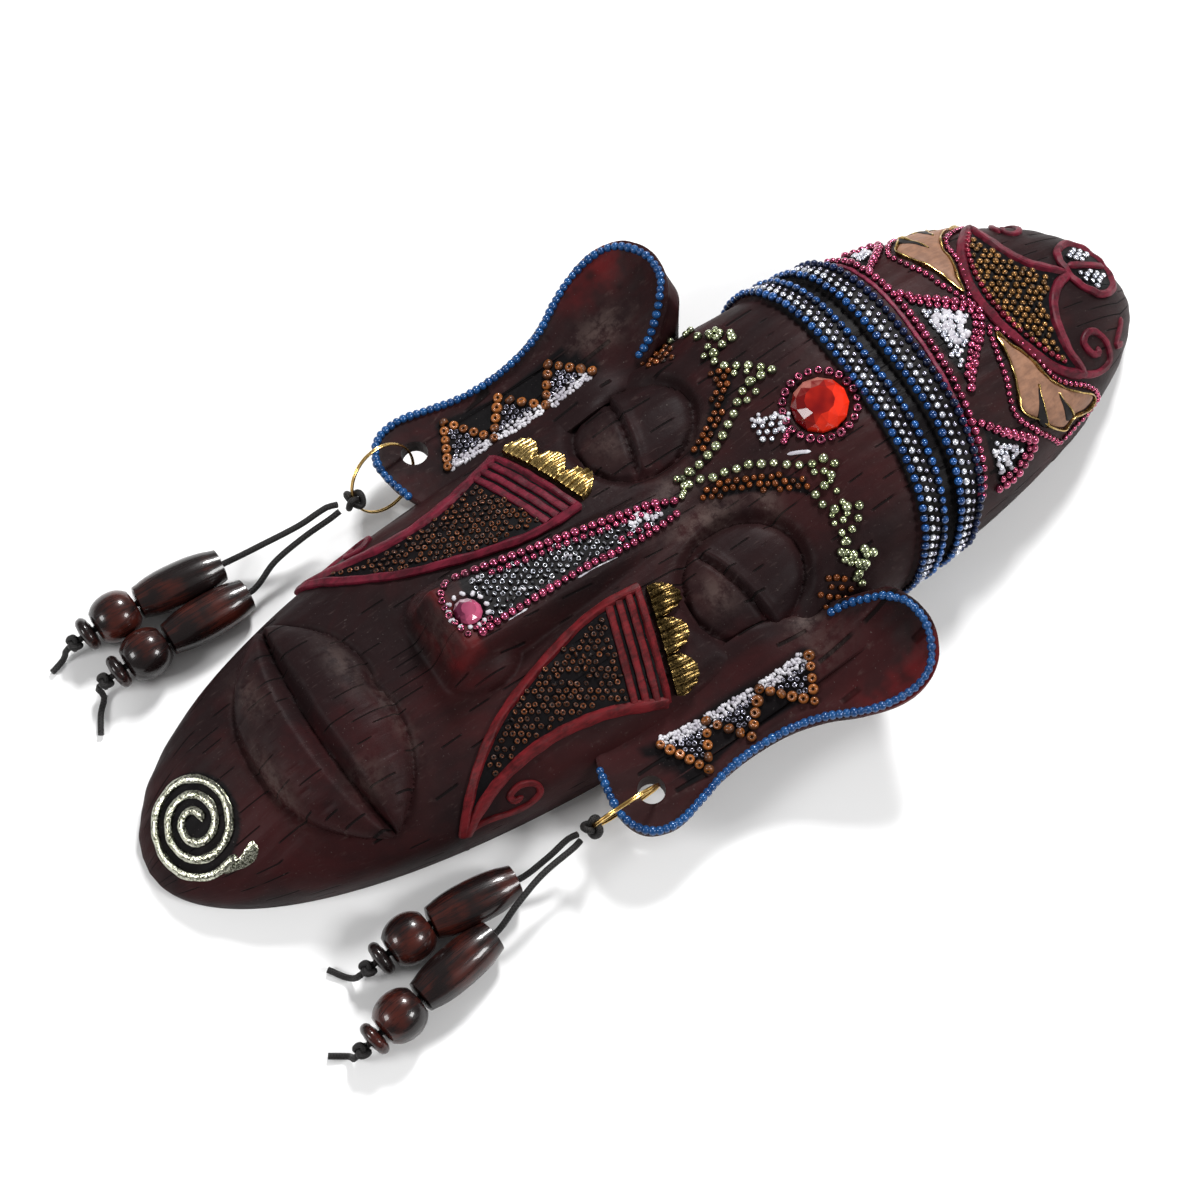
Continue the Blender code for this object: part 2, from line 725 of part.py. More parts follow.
def strand_beads(strand):
    # the middle and the way of each bead along a strand: they hang end to end on the cord
    first, second = strand["headings"]
    x, y = strand["barrel"]
    way = way_of(first, PITCHES["barrel"])
    middle = Vector((x * MM, y * MM, BARREL[0] / 2.0 + BEAD_LIFT))
    places = [("barrel", BARREL, middle, way)]
    end = middle + way * (BARREL[1] / 2.0 + BEAD_GAP / 2.0)
    for kind, sizes in (("round", ROUND), ("saucer", SAUCER), ("end_knot", END_KNOT)):
        way = way_of(second, PITCHES[kind])
        middle = end + way * (BEAD_GAP / 2.0 + sizes[1] / 2.0)
        places.append((kind, sizes, middle, way))
        end = middle + way * (sizes[1] / 2.0 + BEAD_GAP / 2.0)
    return places


def hermite(start, start_way, end, end_way, steps):
    pull = (end - start).length
    points = []
    for i in range(1, steps + 1):
        t = i / steps
        points.append(start * (2.0 * t ** 3 - 3.0 * t ** 2 + 1.0)
                      + start_way * (pull * (t ** 3 - 2.0 * t ** 2 + t))
                      + end * (3.0 * t ** 2 - 2.0 * t ** 3) + end_way * (pull * (t ** 3 - t ** 2)))
    return points


def strand_path(strand):
    knot, _, _ = ring_knot_place(strand["side"])
    beads = strand_beads(strand)
    half = BEAD_GAP / 2.0
    _, sizes, middle, way = beads[0]
    entry = middle - way * (sizes[1] / 2.0 + half)
    first = Vector(strand["route"][0]) * MM
    out = (first - knot).normalized()
    stops = [knot + out * (RING_KNOT[0] / 2.0 + CORD)] + [Vector(point) * MM for point in strand["route"]]
    points = smooth_run(stops + [entry], out, way)
    for _, sizes, middle, way in beads:
        points.append(middle)
        points.append(middle + way * (sizes[1] / 2.0 + half))
    stops = [points.pop()] + [Vector(point) * MM for point in strand["tail"]]
    return points + smooth_run(stops, way, (stops[-1] - stops[-2]).normalized())


def smooth_run(stops, first_way, last_way):
    ways = [first_way]
    for before, after in zip(stops, stops[2:]):
        ways.append((after - before).normalized())
    ways.append(last_way)
    points = [stops[0]]
    for i in range(len(stops) - 1):
        steps = max(1, round((stops[i + 1] - stops[i]).length / CORD_STEP))
        points += hermite(stops[i], ways[i], stops[i + 1], ways[i + 1], steps)
    return points


def cord(name, points, finish):
    curve = bpy.data.curves.new(name, "CURVE")
    curve.dimensions = "3D"
    curve.bevel_depth = CORD / 2.0
    curve.bevel_resolution = 2
    curve.use_fill_caps = True
    line = curve.splines.new("POLY")
    line.points.add(len(points) - 1)
    for slot, point in zip(line.points, points):
        slot.co = (*point, 1.0)
    curve.materials.append(finish)
    thing = bpy.data.objects.new(name, curve)
    bpy.context.scene.collection.objects.link(thing)
    return thing


def build_body():
    resin = material("dark_resin", (0.045, 0.016, 0.013), 0.45)
    body = new_object("mask_body", head_mesh(), resin)
    for side in (-1.0, 1.0):
        apply_boolean(body, ear(side, resin), "UNION")
        apply_boolean(body, relief("blade", blade_pairs(side), 2, BLADE_HEIGHT, resin), "UNION")
        apply_boolean(body, relief("comb", comb_pairs(side), 1, BLADE_HEIGHT, resin), "UNION")
        x, y = side * EAR_HOLE[0], EAR_HOLE[1]
        drill(body, Vector((x, y, 0.0)), Vector((x, y, EAR_HOLE_TOP_Z)), EAR_HOLE_RADIUS, 14)
    apply_boolean(body, relief("spiral", spiral_pairs(), 1, SPIRAL_HEIGHT, resin), "UNION")
    apply_boolean(body, relief("leaf", leaf_pairs(), 3, LEAF_HEIGHT, resin), "UNION")
    apply_boolean(body, relief("leaf_eye", leaf_eye_pairs(), 2, LEAF_HEIGHT, resin), "UNION")
    seat(body, FOREHEAD_GEM_Y, FOREHEAD_GEM_RADIUS)
    seat(body, NOSE_GEM_Y, NOSE_GEM_RADIUS)
    return body


def build_tassels():
    brass = material("brass", (0.72, 0.50, 0.20), 0.28, 1.0)
    black_cord = material("black_cord", (0.012, 0.011, 0.011), 0.75)
    dark_wood = material("dark_wood", (0.055, 0.014, 0.009), 0.25)
    for side in RING_PLACES:
        ring(side, brass)
        place, along, _ = ring_knot_place(side)
        bead("ring_knot_" + side, RING_KNOT, RING_KNOT_BORE, place, along, black_cord, 10, 4)
    for name, strand in STRANDS.items():
        for kind, sizes, middle, along in strand_beads(strand):
            finish = black_cord if kind == "end_knot" else dark_wood
            sides, rounds = (8, 3) if kind == "end_knot" else (10, 5 if kind != "saucer" else 4)
            bead(kind + "_" + name, sizes, BORE, middle, along, finish, sides, rounds)
        cord("strand_" + name, strand_path(strand), black_cord)


def build():
    clear_scene()
    build_body()
    red_gem = material("red_gem", (0.75, 0.01, 0.01), 0.05)
    pink_gem = material("pink_gem", (0.70, 0.12, 0.25), 0.08)
    gem("forehead_gem", FOREHEAD_GEM_Y, FOREHEAD_GEM_RADIUS, FOREHEAD_GEM_HEIGHT, red_gem)
    gem("nose_gem", NOSE_GEM_Y, NOSE_GEM_RADIUS, NOSE_GEM_HEIGHT, pink_gem)
    build_tassels()


build()
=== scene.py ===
import math

import bpy
import numpy as np
from mathutils import Matrix, Vector


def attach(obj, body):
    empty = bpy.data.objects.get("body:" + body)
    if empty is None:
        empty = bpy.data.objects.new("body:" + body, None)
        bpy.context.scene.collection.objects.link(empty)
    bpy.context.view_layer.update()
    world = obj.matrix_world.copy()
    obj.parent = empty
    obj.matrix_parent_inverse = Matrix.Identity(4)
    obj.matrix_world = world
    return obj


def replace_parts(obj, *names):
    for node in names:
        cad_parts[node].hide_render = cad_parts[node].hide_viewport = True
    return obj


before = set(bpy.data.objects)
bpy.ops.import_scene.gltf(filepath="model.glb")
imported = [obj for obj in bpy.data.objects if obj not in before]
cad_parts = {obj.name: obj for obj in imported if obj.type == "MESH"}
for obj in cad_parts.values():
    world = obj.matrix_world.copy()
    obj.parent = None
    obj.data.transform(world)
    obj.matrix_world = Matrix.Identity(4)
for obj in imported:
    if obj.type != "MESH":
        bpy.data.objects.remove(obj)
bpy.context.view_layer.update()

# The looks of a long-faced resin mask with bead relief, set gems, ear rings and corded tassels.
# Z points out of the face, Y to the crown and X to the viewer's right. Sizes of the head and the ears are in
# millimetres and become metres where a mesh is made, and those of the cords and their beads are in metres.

MM = 0.001
WELD = 1e-6
rng = np.random.default_rng(11)


# Outline, height and cross-section of the head, as the solid has them

CHIN_Y, CROWN_Y, WIDEST_Y = -182.8, 182.4, -5.0
HALF_WIDTH = 52.5
CHIN_TAPER, CROWN_TAPER = 2.5, 2.6
FACE_HEIGHT, CROWN_HEIGHT = 37.0, 47.5
BROW_FOOT_Y, CROWN_TOP_Y = 5.0, 70.0
CHIN_ROUNDING = (4.0, 1.4)
FACE_SQUARENESS, CROWN_SQUARENESS, CROWN_SQUARE_Y = (2.25, 4.0), (2.85, 4.2), 80.0
FACE_BELLY, CROWN_BELLY, BELLY_START_Y, BELLY_RUN = 0.02, 0.045, -120.0, 150.0
WALL = 7.0
NOSE_TOP_Y, NOSE_TIP_Y, NOSE_FRONT, NOSE_HEIGHT = 14.0, -72.0, 11.0, 17.0
NOSE_STRIP, NOSE_FLANK = (4.2, 10.8), 5.0
WING_PLACE, WING_SIZE = (12.0, -69.0), (7.5, 12.0, 7.0)
MOUTH_Y, MOUTH_HALF_WIDTH, MOUTH_BOW = -116.5, 38.5, 4.5
UPPER_LIP, LOWER_LIP, LIP_HEIGHT, MOUTH_GROOVE = 19.0, 24.5, 6.6, 4.0
# the creases across the lips: X, and the start and the end as shares of the lip
LIP_CREASES = ((-27, 0.45, 0.8), (-20, 0.35, 0.65), (-12, 0.5, 0.9), (-6, 0.3, 0.55), (3, 0.5, 0.85),
               (10, 0.35, 0.6), (17, 0.5, 0.9), (24, 0.4, 0.75), (30, 0.4, 0.7))
EYE_X, EYE_Y = 31.0, 12.5
EYE_HALF, SOCKET_HALF = (17.5, 18.5), (22.5, 24.5)
EYE_DOME, SOCKET_DEPTH = 5.0, 3.6
BANDS, BAND_HEIGHT, BAND_BEVEL = ((72.9, 82.4), (86.8, 97.2)), 1.8, 1.2
BAND_BOW, BAND_TILT, BAND_MARGIN, BAND_FADE = 13.0, 1.8, 2.0, 45.0
# the gems' seats: Y, radius and depth
SEATS = ((61.0, 9.4, 1.4), (-66.0, 4.8, 1.4))
FOREHEAD_GEM_Y, NOSE_GEM_Y = SEATS[0][0], SEATS[1][0]
SPIRAL_Y, SPIRAL_RADIUS, SPIRAL_TURNS, SPIRAL_SLOPE = -164.0, 16.6, 2.9, 0.85


def ease(value):
    value = np.clip(value, 0.0, 1.0)
    return value * value * (3.0 - 2.0 * value)


def blend(a, b, share):
    return a + (b - a) * share


def half_width(y):
    low = np.clip((WIDEST_Y - y) / (WIDEST_Y - CHIN_Y), 0.0, 1.0)
    high = np.clip((y - WIDEST_Y) / (CROWN_Y - WIDEST_Y), 0.0, 1.0)
    chin, crown = np.sqrt(1.0 - low ** CHIN_TAPER), np.sqrt(1.0 - high ** CROWN_TAPER)
    return HALF_WIDTH * np.where(y < WIDEST_Y, chin, crown)


def crest(y):
    low = np.clip((WIDEST_Y - y) / (WIDEST_Y - CHIN_Y), 0.0, 1.0)
    face = FACE_HEIGHT * (1.0 - low ** CHIN_ROUNDING[0]) ** (1.0 / CHIN_ROUNDING[1])
    rise = blend(FACE_HEIGHT, CROWN_HEIGHT, ease((y - BROW_FOOT_Y) / (CROWN_TOP_Y - BROW_FOOT_Y)))
    high = np.clip((y - CROWN_TOP_Y) / (CROWN_Y - CROWN_TOP_Y), 0.0, 1.0)
    crown = CROWN_HEIGHT * np.sqrt(1.0 - high ** 2)
    return np.where(y < WIDEST_Y, face, np.where(y < CROWN_TOP_Y, rise, crown))


def skin(girth, y):
    # girth runs from -1 at the left rim over 0 on the crest to 1 at the right rim
    girth, y = np.broadcast_arrays(np.asarray(girth, float), np.asarray(y, float))
    crownward = ease(y / CROWN_SQUARE_Y)
    sideways = blend(FACE_SQUARENESS[0], CROWN_SQUARENESS[0], crownward)
    upward = blend(FACE_SQUARENESS[1], CROWN_SQUARENESS[1], crownward)
    angle = np.clip(np.abs(girth), 0.0, 1.0) * math.pi / 2.0
    lift = np.clip(np.cos(angle), 0.0, 1.0) ** (2.0 / upward)
    belly = blend(FACE_BELLY, CROWN_BELLY, ease((y - BELLY_START_Y) / BELLY_RUN))
    reach = np.sin(angle) ** (2.0 / sideways)
    reach = reach * (1.0 + belly * np.sin(math.pi * np.minimum(lift / 0.9, 1.0)))
    return np.stack([np.copysign(half_width(y) * reach, girth), y, crest(y) * lift], -1)


def facing(surface, girth, y):
    # the outward direction of a surface that is given by girth and Y
    step, run = 0.006, 0.6
    girth = np.clip(girth, step - 1.0, 1.0 - step)
    y = np.clip(y, CHIN_Y + 2.0 * run, CROWN_Y - 2.0 * run)
    across = surface(girth + step, y) - surface(girth - step, y)
    along = surface(girth, y + run) - surface(girth, y - run)
    out = np.cross(across, along)
    return out / np.maximum(np.linalg.norm(out, axis=-1, keepdims=True), 1e-9)


def girth_at(x, y):
    # the girth of the head's point over X and Y, found by halving
    low, high = np.zeros_like(x), np.full_like(x, 0.86)
    for _ in range(26):
        middle = (low + high) / 2.0
        under = skin(middle, y)[..., 0] < np.abs(x)
        low, high = np.where(under, middle, low), np.where(under, high, middle)
    return np.copysign(low, x)


# Ornament outlines, seen from the front and on the viewer's right; the left ones of a pair are mirrored

BLADE_INNER = ((16.0, -16.5), (15.4, -25.5), (16.0, -35.4), (18.0, -44.8), (20.5, -54.0), (23.3, -62.6),
               (26.3, -70.6), (29.8, -77.6), (34.4, -84.7), (39.1, -90.8), (43.3, -95.6), (46.6, -99.6))
BLADE_OUTER = ((48.0, -27.4), (44.6, -37.6), (42.1, -45.7), (40.6, -54.4), (39.9, -62.1), (40.0, -70.3),
               (40.9, -77.8), (42.3, -84.4), (44.4, -91.0), (47.0, -98.4))
BLADE_BARS = (((15.6, -16.7), (48.2, -26.9)), ((16.6, -20.3), (46.6, -29.9)),
              ((16.6, -23.8), (45.6, -33.2)), ((16.6, -27.3), (44.6, -36.5)))
BLADE_FIELD = ((18.0, -28.4), (42.6, -37.4), (39.6, -46.0), (38.2, -58.1), (37.8, -70.0), (39.0, -80.0),
               (42.6, -91.0), (36.6, -84.0), (29.6, -74.2), (24.0, -61.0), (19.6, -45.0))
BLADE_CURL = ((0.84, -98.0), (0.83, -91.0), (0.85, -84.0), (0.85, -78.0), (0.81, -73.6), (0.74, -73.8),
              (0.70, -78.0), (0.73, -82.0), (0.78, -81.6), (0.78, -78.6))
LEAF = ((-31.8, 143.6), (-24.6, 133.9), (-16.4, 128.2), (-7.4, 125.2), (2.4, 125.0), (12.6, 126.8),
        (21.3, 129.8), (27.6, 134.4), (30.0, 141.2), (24.6, 140.6), (19.4, 141.0), (13.0, 143.0),
        (6.4, 147.0), (1.6, 153.2), (-0.6, 158.6), (-3.4, 155.6), (-7.6, 150.0), (-13.2, 146.0),
        (-19.6, 143.8), (-26.0, 142.8))
CELLS = ((-2.8, 159.4), (3.2, 159.8), (7.8, 162.6), (9.6, 167.2), (7.6, 172.4), (2.4, 175.8), (-3.8, 176.4),
         (-9.4, 173.8), (-12.2, 169.0), (-10.8, 163.6), (-7.2, 160.4))
TAN_LEAF = ((8.6, 121.9), (13.4, 123.4), (19.4, 126.0), (26.0, 127.4), (30.6, 130.4), (34.0, 136.4),
            (35.6, 143.4), (37.6, 139.0), (38.6, 132.6), (40.4, 127.2), (39.2, 122.0), (36.4, 118.2),
            (33.2, 114.6), (29.0, 115.6), (23.2, 118.2), (16.4, 120.4))
PINK_LINE = ((-45.5, 95.4), (-40.0, 97.6), (-33.5, 99.0), (-25.6, 100.0), (-16.5, 100.3), (-5.9, 100.0),
             (2.8, 99.5), (12.2, 98.4), (21.1, 96.9), (28.2, 95.4), (35.3, 93.5), (41.8, 91.0),
             (46.4, 88.0))
MIDDLE_PEAK = ((-18.4, 104.6), (-14.1, 108.3), (-10.1, 113.5), (-6.5, 118.0), (-1.4, 122.6), (5.5, 118.3),
               (10.6, 112.9), (16.9, 106.4), (20.1, 103.6))
RIGHT_PEAK = ((30.6, 100.0), (35.2, 105.4), (38.0, 110.0), (41.0, 114.6), (43.8, 109.5), (45.8, 103.4),
              (46.6, 97.0))
LEFT_PEAK = ((-31.1, 102.4), (-33.8, 105.6), (-35.9, 109.2), (-41.4, 114.6), (-43.5, 109.3), (-44.6, 104.0))
NOSE_LEFT = ((-11.2, -63.0), (-9.9, -54.5), (-8.6, -42.9), (-7.2, -28.7), (-6.0, -17.5), (-4.7, -6.4),
             (-3.6, 0.9), (-0.8, 8.1))
NOSE_RIGHT = ((8.2, -66.2), (7.0, -57.4), (6.4, -50.3), (5.9, -42.9), (5.1, -31.7), (4.7, -24.7),
              (4.9, -17.5), (4.8, -10.0), (4.2, -1.5), (3.0, 6.3))
BROW_UNDER_LEFT = ((-30.8, 44.2), (-26.2, 46.6), (-21.4, 43.2), (-17.4, 38.2), (-13.0, 33.6), (-10.2, 27.6),
                   (-8.6, 21.6), (-11.4, 20.6), (-14.0, 27.2), (-17.4, 31.6), (-21.8, 35.8), (-25.4, 40.2),
                   (-30.4, 41.0))
BROW_UNDER_RIGHT = ((0.6, 17.0), (2.2, 23.0), (5.2, 30.6), (9.6, 37.6), (16.8, 44.4), (21.6, 42.6),
                    (14.8, 36.2), (9.8, 28.6), (5.8, 20.6), (3.0, 16.2))


def depth_inside(x, y, outline):
    # how far inside a closed outline each point lies: outside it is negative
    corners = np.asarray(outline, float)
    best, inside = np.full(x.shape, 1e9), np.zeros(x.shape, bool)
    for (x0, y0), (x1, y1) in zip(corners, np.roll(corners, -1, axis=0)):
        dx, dy = x1 - x0, y1 - y0
        share = np.clip(((x - x0) * dx + (y - y0) * dy) / (dx * dx + dy * dy), 0.0, 1.0)
        best = np.minimum(best, np.hypot(x - x0 - share * dx, y - y0 - share * dy))
        if y0 != y1:
            inside ^= ((y0 > y) != (y1 > y)) & (x < (x1 - x0) * (y - y0) / (y1 - y0) + x0)
    return np.where(inside, best, -best)


def groove(distance, width):
    return np.exp(-(distance / width) ** 2)


# Carving, as heights over the plain head

def nose_carving(x, y):
    down = (NOSE_TOP_Y - y) / (NOSE_TOP_Y - NOSE_TIP_Y)
    front = ease(1.0 - (NOSE_TIP_Y - y) / NOSE_FRONT)
    height = NOSE_HEIGHT * np.where(down <= 1.0, np.clip(down, 0.0, 1.0) ** 1.15, front)
    flat = blend(*NOSE_STRIP, np.clip(down, 0.0, 1.0))
    bridge = height * (1.0 - ease((np.abs(x) - flat) / NOSE_FLANK))
    wide, long, high = WING_SIZE
    wing = ((np.abs(x) - WING_PLACE[0]) / wide) ** 2 + ((y - WING_PLACE[1]) / long) ** 2
    return np.maximum(bridge, high * np.sqrt(np.clip(1.0 - wing, 0.0, 1.0)))


def lip_carving(x, y):
    across = np.clip(np.abs(x) / MOUTH_HALF_WIDTH, 0.0, 1.0)
    fullness = (1.0 - across ** 2.6) ** 0.8
    line = MOUTH_Y - MOUTH_BOW * (1.0 - across ** 2)
    upper = y > line
    dip = 1.6 * groove(x + 1.5, 5.0)
    reach = np.where(upper, UPPER_LIP - dip, -LOWER_LIP) * fullness
    span = MOUTH_Y + reach - line
    off = (y - line) / np.where(np.abs(span) < 0.01, 0.01, span)
    inside = (off < 1.0) & (across < 1.0)
    mound = LIP_HEIGHT * fullness ** 0.5 * (1.0 - np.clip(off, 0.0, 1.0) ** 4.4)
    mound = mound - MOUTH_GROOVE * fullness ** 0.5 * (1.0 - ease(off / 0.26)) - 1.4 * groove(y - line, 1.1)
    edge = (1.0 - np.clip(off, 0.0, 1.0)) * np.abs(span)
    mound = mound + 0.5 * groove(edge - 1.3, 0.8) * fullness ** 0.3
    outside = (off - 1.0) * np.abs(span)
    around = -0.9 * groove(outside - 0.6, 1.3) * (across < 1.0) * fullness ** 0.2 * (off >= 1.0)
    for place, start, end in LIP_CREASES:
        shift = 2.4 * np.where(upper, 1.0, -1.0)
        bite = ease((off - start) / 0.08) * (1.0 - ease((off - end) / 0.08))
        mound = mound - 0.5 * groove(x - place - shift, 0.5) * bite
    return np.where(inside, mound, around)


def eye_carving(x, y):
    side = np.abs(x) - EYE_X
    socket = np.hypot(side / SOCKET_HALF[0], (y - EYE_Y) / SOCKET_HALF[1])
    dome = np.hypot(side / EYE_HALF[0], (y - EYE_Y) / EYE_HALF[1])
    hollow = SOCKET_DEPTH * (1.0 - ease((socket - 0.72) / 0.28))
    ball = EYE_DOME * np.sqrt(np.clip(1.0 - dome ** 2, 0.0, 1.0))
    lid = y - EYE_Y + 2.6 - 0.27 * side + 0.006 * side ** 2
    in_eye = 1.0 - ease((dome - 0.86) / 0.1)
    slit = in_eye * (-2.1 * groove(lid, 1.0) + 1.1 * groove(lid - 2.2, 1.6) - 0.5 * ease(-lid / 2.0))
    rings = -0.75 * groove((dome - 1.03) * 17.0, 1.3) + 0.45 * groove((dome - 1.17) * 17.0, 1.3)
    return np.where(socket < 1.0, ball - hollow + slit, 0.0) + rings * (1.0 - ease((np.abs(x) - 44.0) / 3.0))


def band_drop(girth):
    return BAND_BOW * girth ** 2 + BAND_TILT * girth


def bowed(girth, y):
    # near the bands a row of the head runs along with them
    low, high = BANDS[0][0] - BAND_MARGIN, BANDS[-1][1] + BAND_MARGIN
    share = np.minimum(ease((y - low) / BAND_FADE + 1.0), ease((high - y) / BAND_FADE + 1.0))
    return y - band_drop(girth) * share


def band_carving(girth, y):
    level = y + band_drop(girth)
    height = np.zeros_like(level)
    for start, end in BANDS:
        inside = np.minimum(level - start, end - level)
        height = np.maximum(height, BAND_HEIGHT * np.clip(inside / BAND_BEVEL, 0.0, 1.0))
    return height


def plate_carving(x, y):
    blade = depth_inside(np.abs(x), y, BLADE_INNER + BLADE_OUTER[::-1])
    leaf = np.maximum(depth_inside(x, y, LEAF), depth_inside(x, y, CELLS))
    tan = depth_inside(np.abs(x), y, TAN_LEAF)
    return 0.7 * (ease((blade + 1.0) / 1.2) + ease((leaf + 1.0) / 1.2)) + 0.5 * ease((tan + 1.5) / 1.5)


def chiselled(x, y):
    # the long tool marks that run down the mask
    wave = np.sin(x * 0.9 + 1.3 * np.sin(y * 0.045)) * np.sin(y * 0.11 + x * 0.35)
    return 0.16 * wave + 0.14 * np.sin(x * 0.42 + 2.0) * np.sin(y * 0.06 + 0.2 * x)


def carved(girth, y):
    girth, y = np.broadcast_arrays(np.asarray(girth, float), np.asarray(y, float))
    point, out = skin(girth, y), facing(skin, girth, y)
    x = point[..., 0]
    rim = np.clip((1.0 - np.abs(girth)) / 0.06, 0.0, 1.0)
    raised = eye_carving(x, y) + lip_carving(x, y) + plate_carving(x, y) + chiselled(x, y) * rim
    raised = raised + band_carving(girth, y) * rim
    point = point + out * raised[..., None]
    point[..., 2] += np.where(np.abs(girth) < 0.8, nose_carving(x, y), 0.0)
    return point


# Routes on the head: rows of girth and Y

def spline(points, closed=False, count=24):
    points = np.asarray(points, float)
    size = len(points)
    picked = [points[(np.arange(size if closed else size - 1) + shift) % size] for shift in (-1, 0, 1, 2)]
    if not closed:
        picked[0][0] = 2.0 * points[0] - points[1]
        picked[3][-1] = 2.0 * points[-1] - points[-2]
    t = (np.arange(count) / count)[None, :, None]
    a, b, c, d = [p[:, None, :] for p in picked]
    rows = 0.5 * (2.0 * b + (c - a) * t + (2.0 * a - 5.0 * b + 4.0 * c - d) * t ** 2
                  + (3.0 * b - a - 3.0 * c + d) * t ** 3)
    rows = rows.reshape(-1, points.shape[1])
    return np.vstack([rows, points[:1] if closed else points[-1:]])


def route_through(points, closed=False):
    line = spline(points, closed)
    return np.stack([girth_at(line[:, 0], line[:, 1]), line[:, 1]], -1)


def route_around(y, reach=0.985):
    # a route over the head from one rim to the other, along with the bands
    share = np.linspace(-1.0, 1.0, 401)
    girth = np.copysign(np.abs(share) ** 1.5, share) * reach
    return np.stack([girth, bowed(girth, y)], -1)


def evenly(route, step, closed=False, shift=0.0):
    # the route read off at even steps over the surface
    places = carved(route[:, 0], route[:, 1])
    run = np.concatenate([[0.0], np.cumsum(np.linalg.norm(np.diff(places, axis=0), axis=1))])
    count = max(2, int(round(run[-1] / step)))
    marks = np.linspace(0.0, run[-1], count + 1) + shift * step
    marks = marks[:-1] if closed or shift else marks
    return np.stack([np.interp(marks, run, route[:, 0]), np.interp(marks, run, route[:, 1])], -1)


# Meshes

def laid_sheet(name, places, sharp=35.0):
    # a grid primitive laid on rows of points; touching edges are merged and open ends are filled
    rows, columns = places.shape[:2]
    bpy.ops.object.select_all(action="DESELECT")
    bpy.ops.mesh.primitive_grid_add(x_subdivisions=columns - 1, y_subdivisions=rows - 1, size=1.0)
    piece = bpy.context.active_object
    piece.name = name
    piece.data.vertices.foreach_set("co", (places * MM).astype(np.float32).ravel())
    piece.data.update()
    bpy.ops.object.mode_set(mode="EDIT")
    bpy.ops.mesh.select_all(action="SELECT")
    bpy.ops.mesh.remove_doubles(threshold=WELD)
    bpy.ops.mesh.fill_holes(sides=0)
    bpy.ops.mesh.select_all(action="SELECT")
    bpy.ops.mesh.normals_make_consistent(inside=False)
    bpy.ops.object.mode_set(mode="OBJECT")
    bpy.ops.object.shade_smooth_by_angle(angle=math.radians(sharp))
    return piece


def ink_over(piece, outlines, ground=None, worn=()):
    # marks the outer face where the paint under the beads is black, and where edges are lighter, partly from
    # real rubbed wear and partly as painted highlight
    mesh = piece.data
    count = len(mesh.vertices)
    spots, normals = np.empty(count * 3, np.float32), np.empty(count * 3, np.float32)
    mesh.vertices.foreach_get("co", spots)
    mesh.vertices.foreach_get("normal", normals)
    spots, normals = spots.reshape(-1, 3) / MM, normals.reshape(-1, 3)
    x, y = spots[:, 0], spots[:, 1]
    ink, rubbed = np.zeros(count), np.zeros(count)
    for outline in outlines:
        ink = np.maximum(ink, ease(depth_inside(x, y, outline) / 0.8 + 0.6))
    if ground:
        ink = np.maximum(ink, ground(spots))
    for (px, py), (wide, long), strength in worn:
        rubbed = np.maximum(rubbed, strength * np.exp(-((x - px) / wide) ** 2 - ((y - py) / long) ** 2))
    for name, marks in (("ink", ink * (normals[:, 2] > -0.2)), ("rubbed", rubbed * (normals[:, 2] > 0.0))):
        mesh.attributes.new(name, "FLOAT", "POINT").data.foreach_set("value", marks.astype(np.float32))


def band_ground(spots):
    # the black stretch under the bands, on the outer side of the wall
    x, y, z = spots.T
    inner = np.hypot(x / (half_width(y) - 3.0), np.maximum(z, 0.0) / (crest(y) - 3.0))
    angle = np.arctan2(np.abs(x) / half_width(y), np.clip(z / crest(y), 0.0, 1.0)) / (math.pi / 2.0)
    level = y + band_drop(np.copysign(np.clip(angle, 0.0, 1.0), x))
    inside = np.minimum(level - BANDS[0][0] + 0.6, BANDS[-1][1] + 1.0 - level)
    return ease(inside + 0.5) * (inner > 1.0)


def finish_piece(piece, material):
    piece.data.materials.clear()
    piece.data.materials.append(material)
    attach(piece, "root")
    return piece


def ridge(name, route, width, height, closed=False, sunk=0.6, flat=0.75, wobble=0.08, step=0.9, blunt=False):
    # a painted raised line that follows the route, with its ends tapered
    line = evenly(route, step, closed)
    if closed:
        line = np.vstack([line, line[:1]])
    middle, out = carved(line[:, 0], line[:, 1]), facing(carved, line[:, 0], line[:, 1])
    if closed:
        padded = np.vstack([middle[-2], middle, middle[1]])
        way = padded[2:] - padded[:-2]
        soft = (out + np.vstack([out[-2], out[:-1]]) + np.vstack([out[1:], out[1]])) / 3.0
    else:
        way = np.gradient(middle, axis=0)
        soft = out
    way /= np.linalg.norm(way, axis=1, keepdims=True)
    aside = np.cross(way, soft)
    aside /= np.linalg.norm(aside, axis=1, keepdims=True)
    run = np.arange(len(line)) * step
    swell = 1.0 + wobble * np.sin(run * 0.55 + rng.uniform(0, 6)) * np.sin(run * 0.21 + rng.uniform(0, 6))
    if closed:
        swell[-1] = swell[0]
    elif not blunt:
        end = np.minimum(run, run[-1] - run) / width
        swell = swell * np.sqrt(np.clip(end * 1.6 + 0.06, 0.05, 1.0))
    rows = []
    section = ((-1.0, 0.0), (-0.86, 0.62), (-flat * 0.75, 0.97), (0.0, 1.0), (flat * 0.75, 0.97),
               (0.86, 0.62), (1.0, 0.0), (0.0, -0.4), (-1.0, 0.0))
    for off, level in section:
        lift = height * level * swell - (sunk if level <= 0.0 else 0.0)
        rows.append(middle + aside * (off * width / 2.0 * swell)[:, None] + soft * lift[:, None])
    return laid_sheet(name, np.stack(rows, 1))


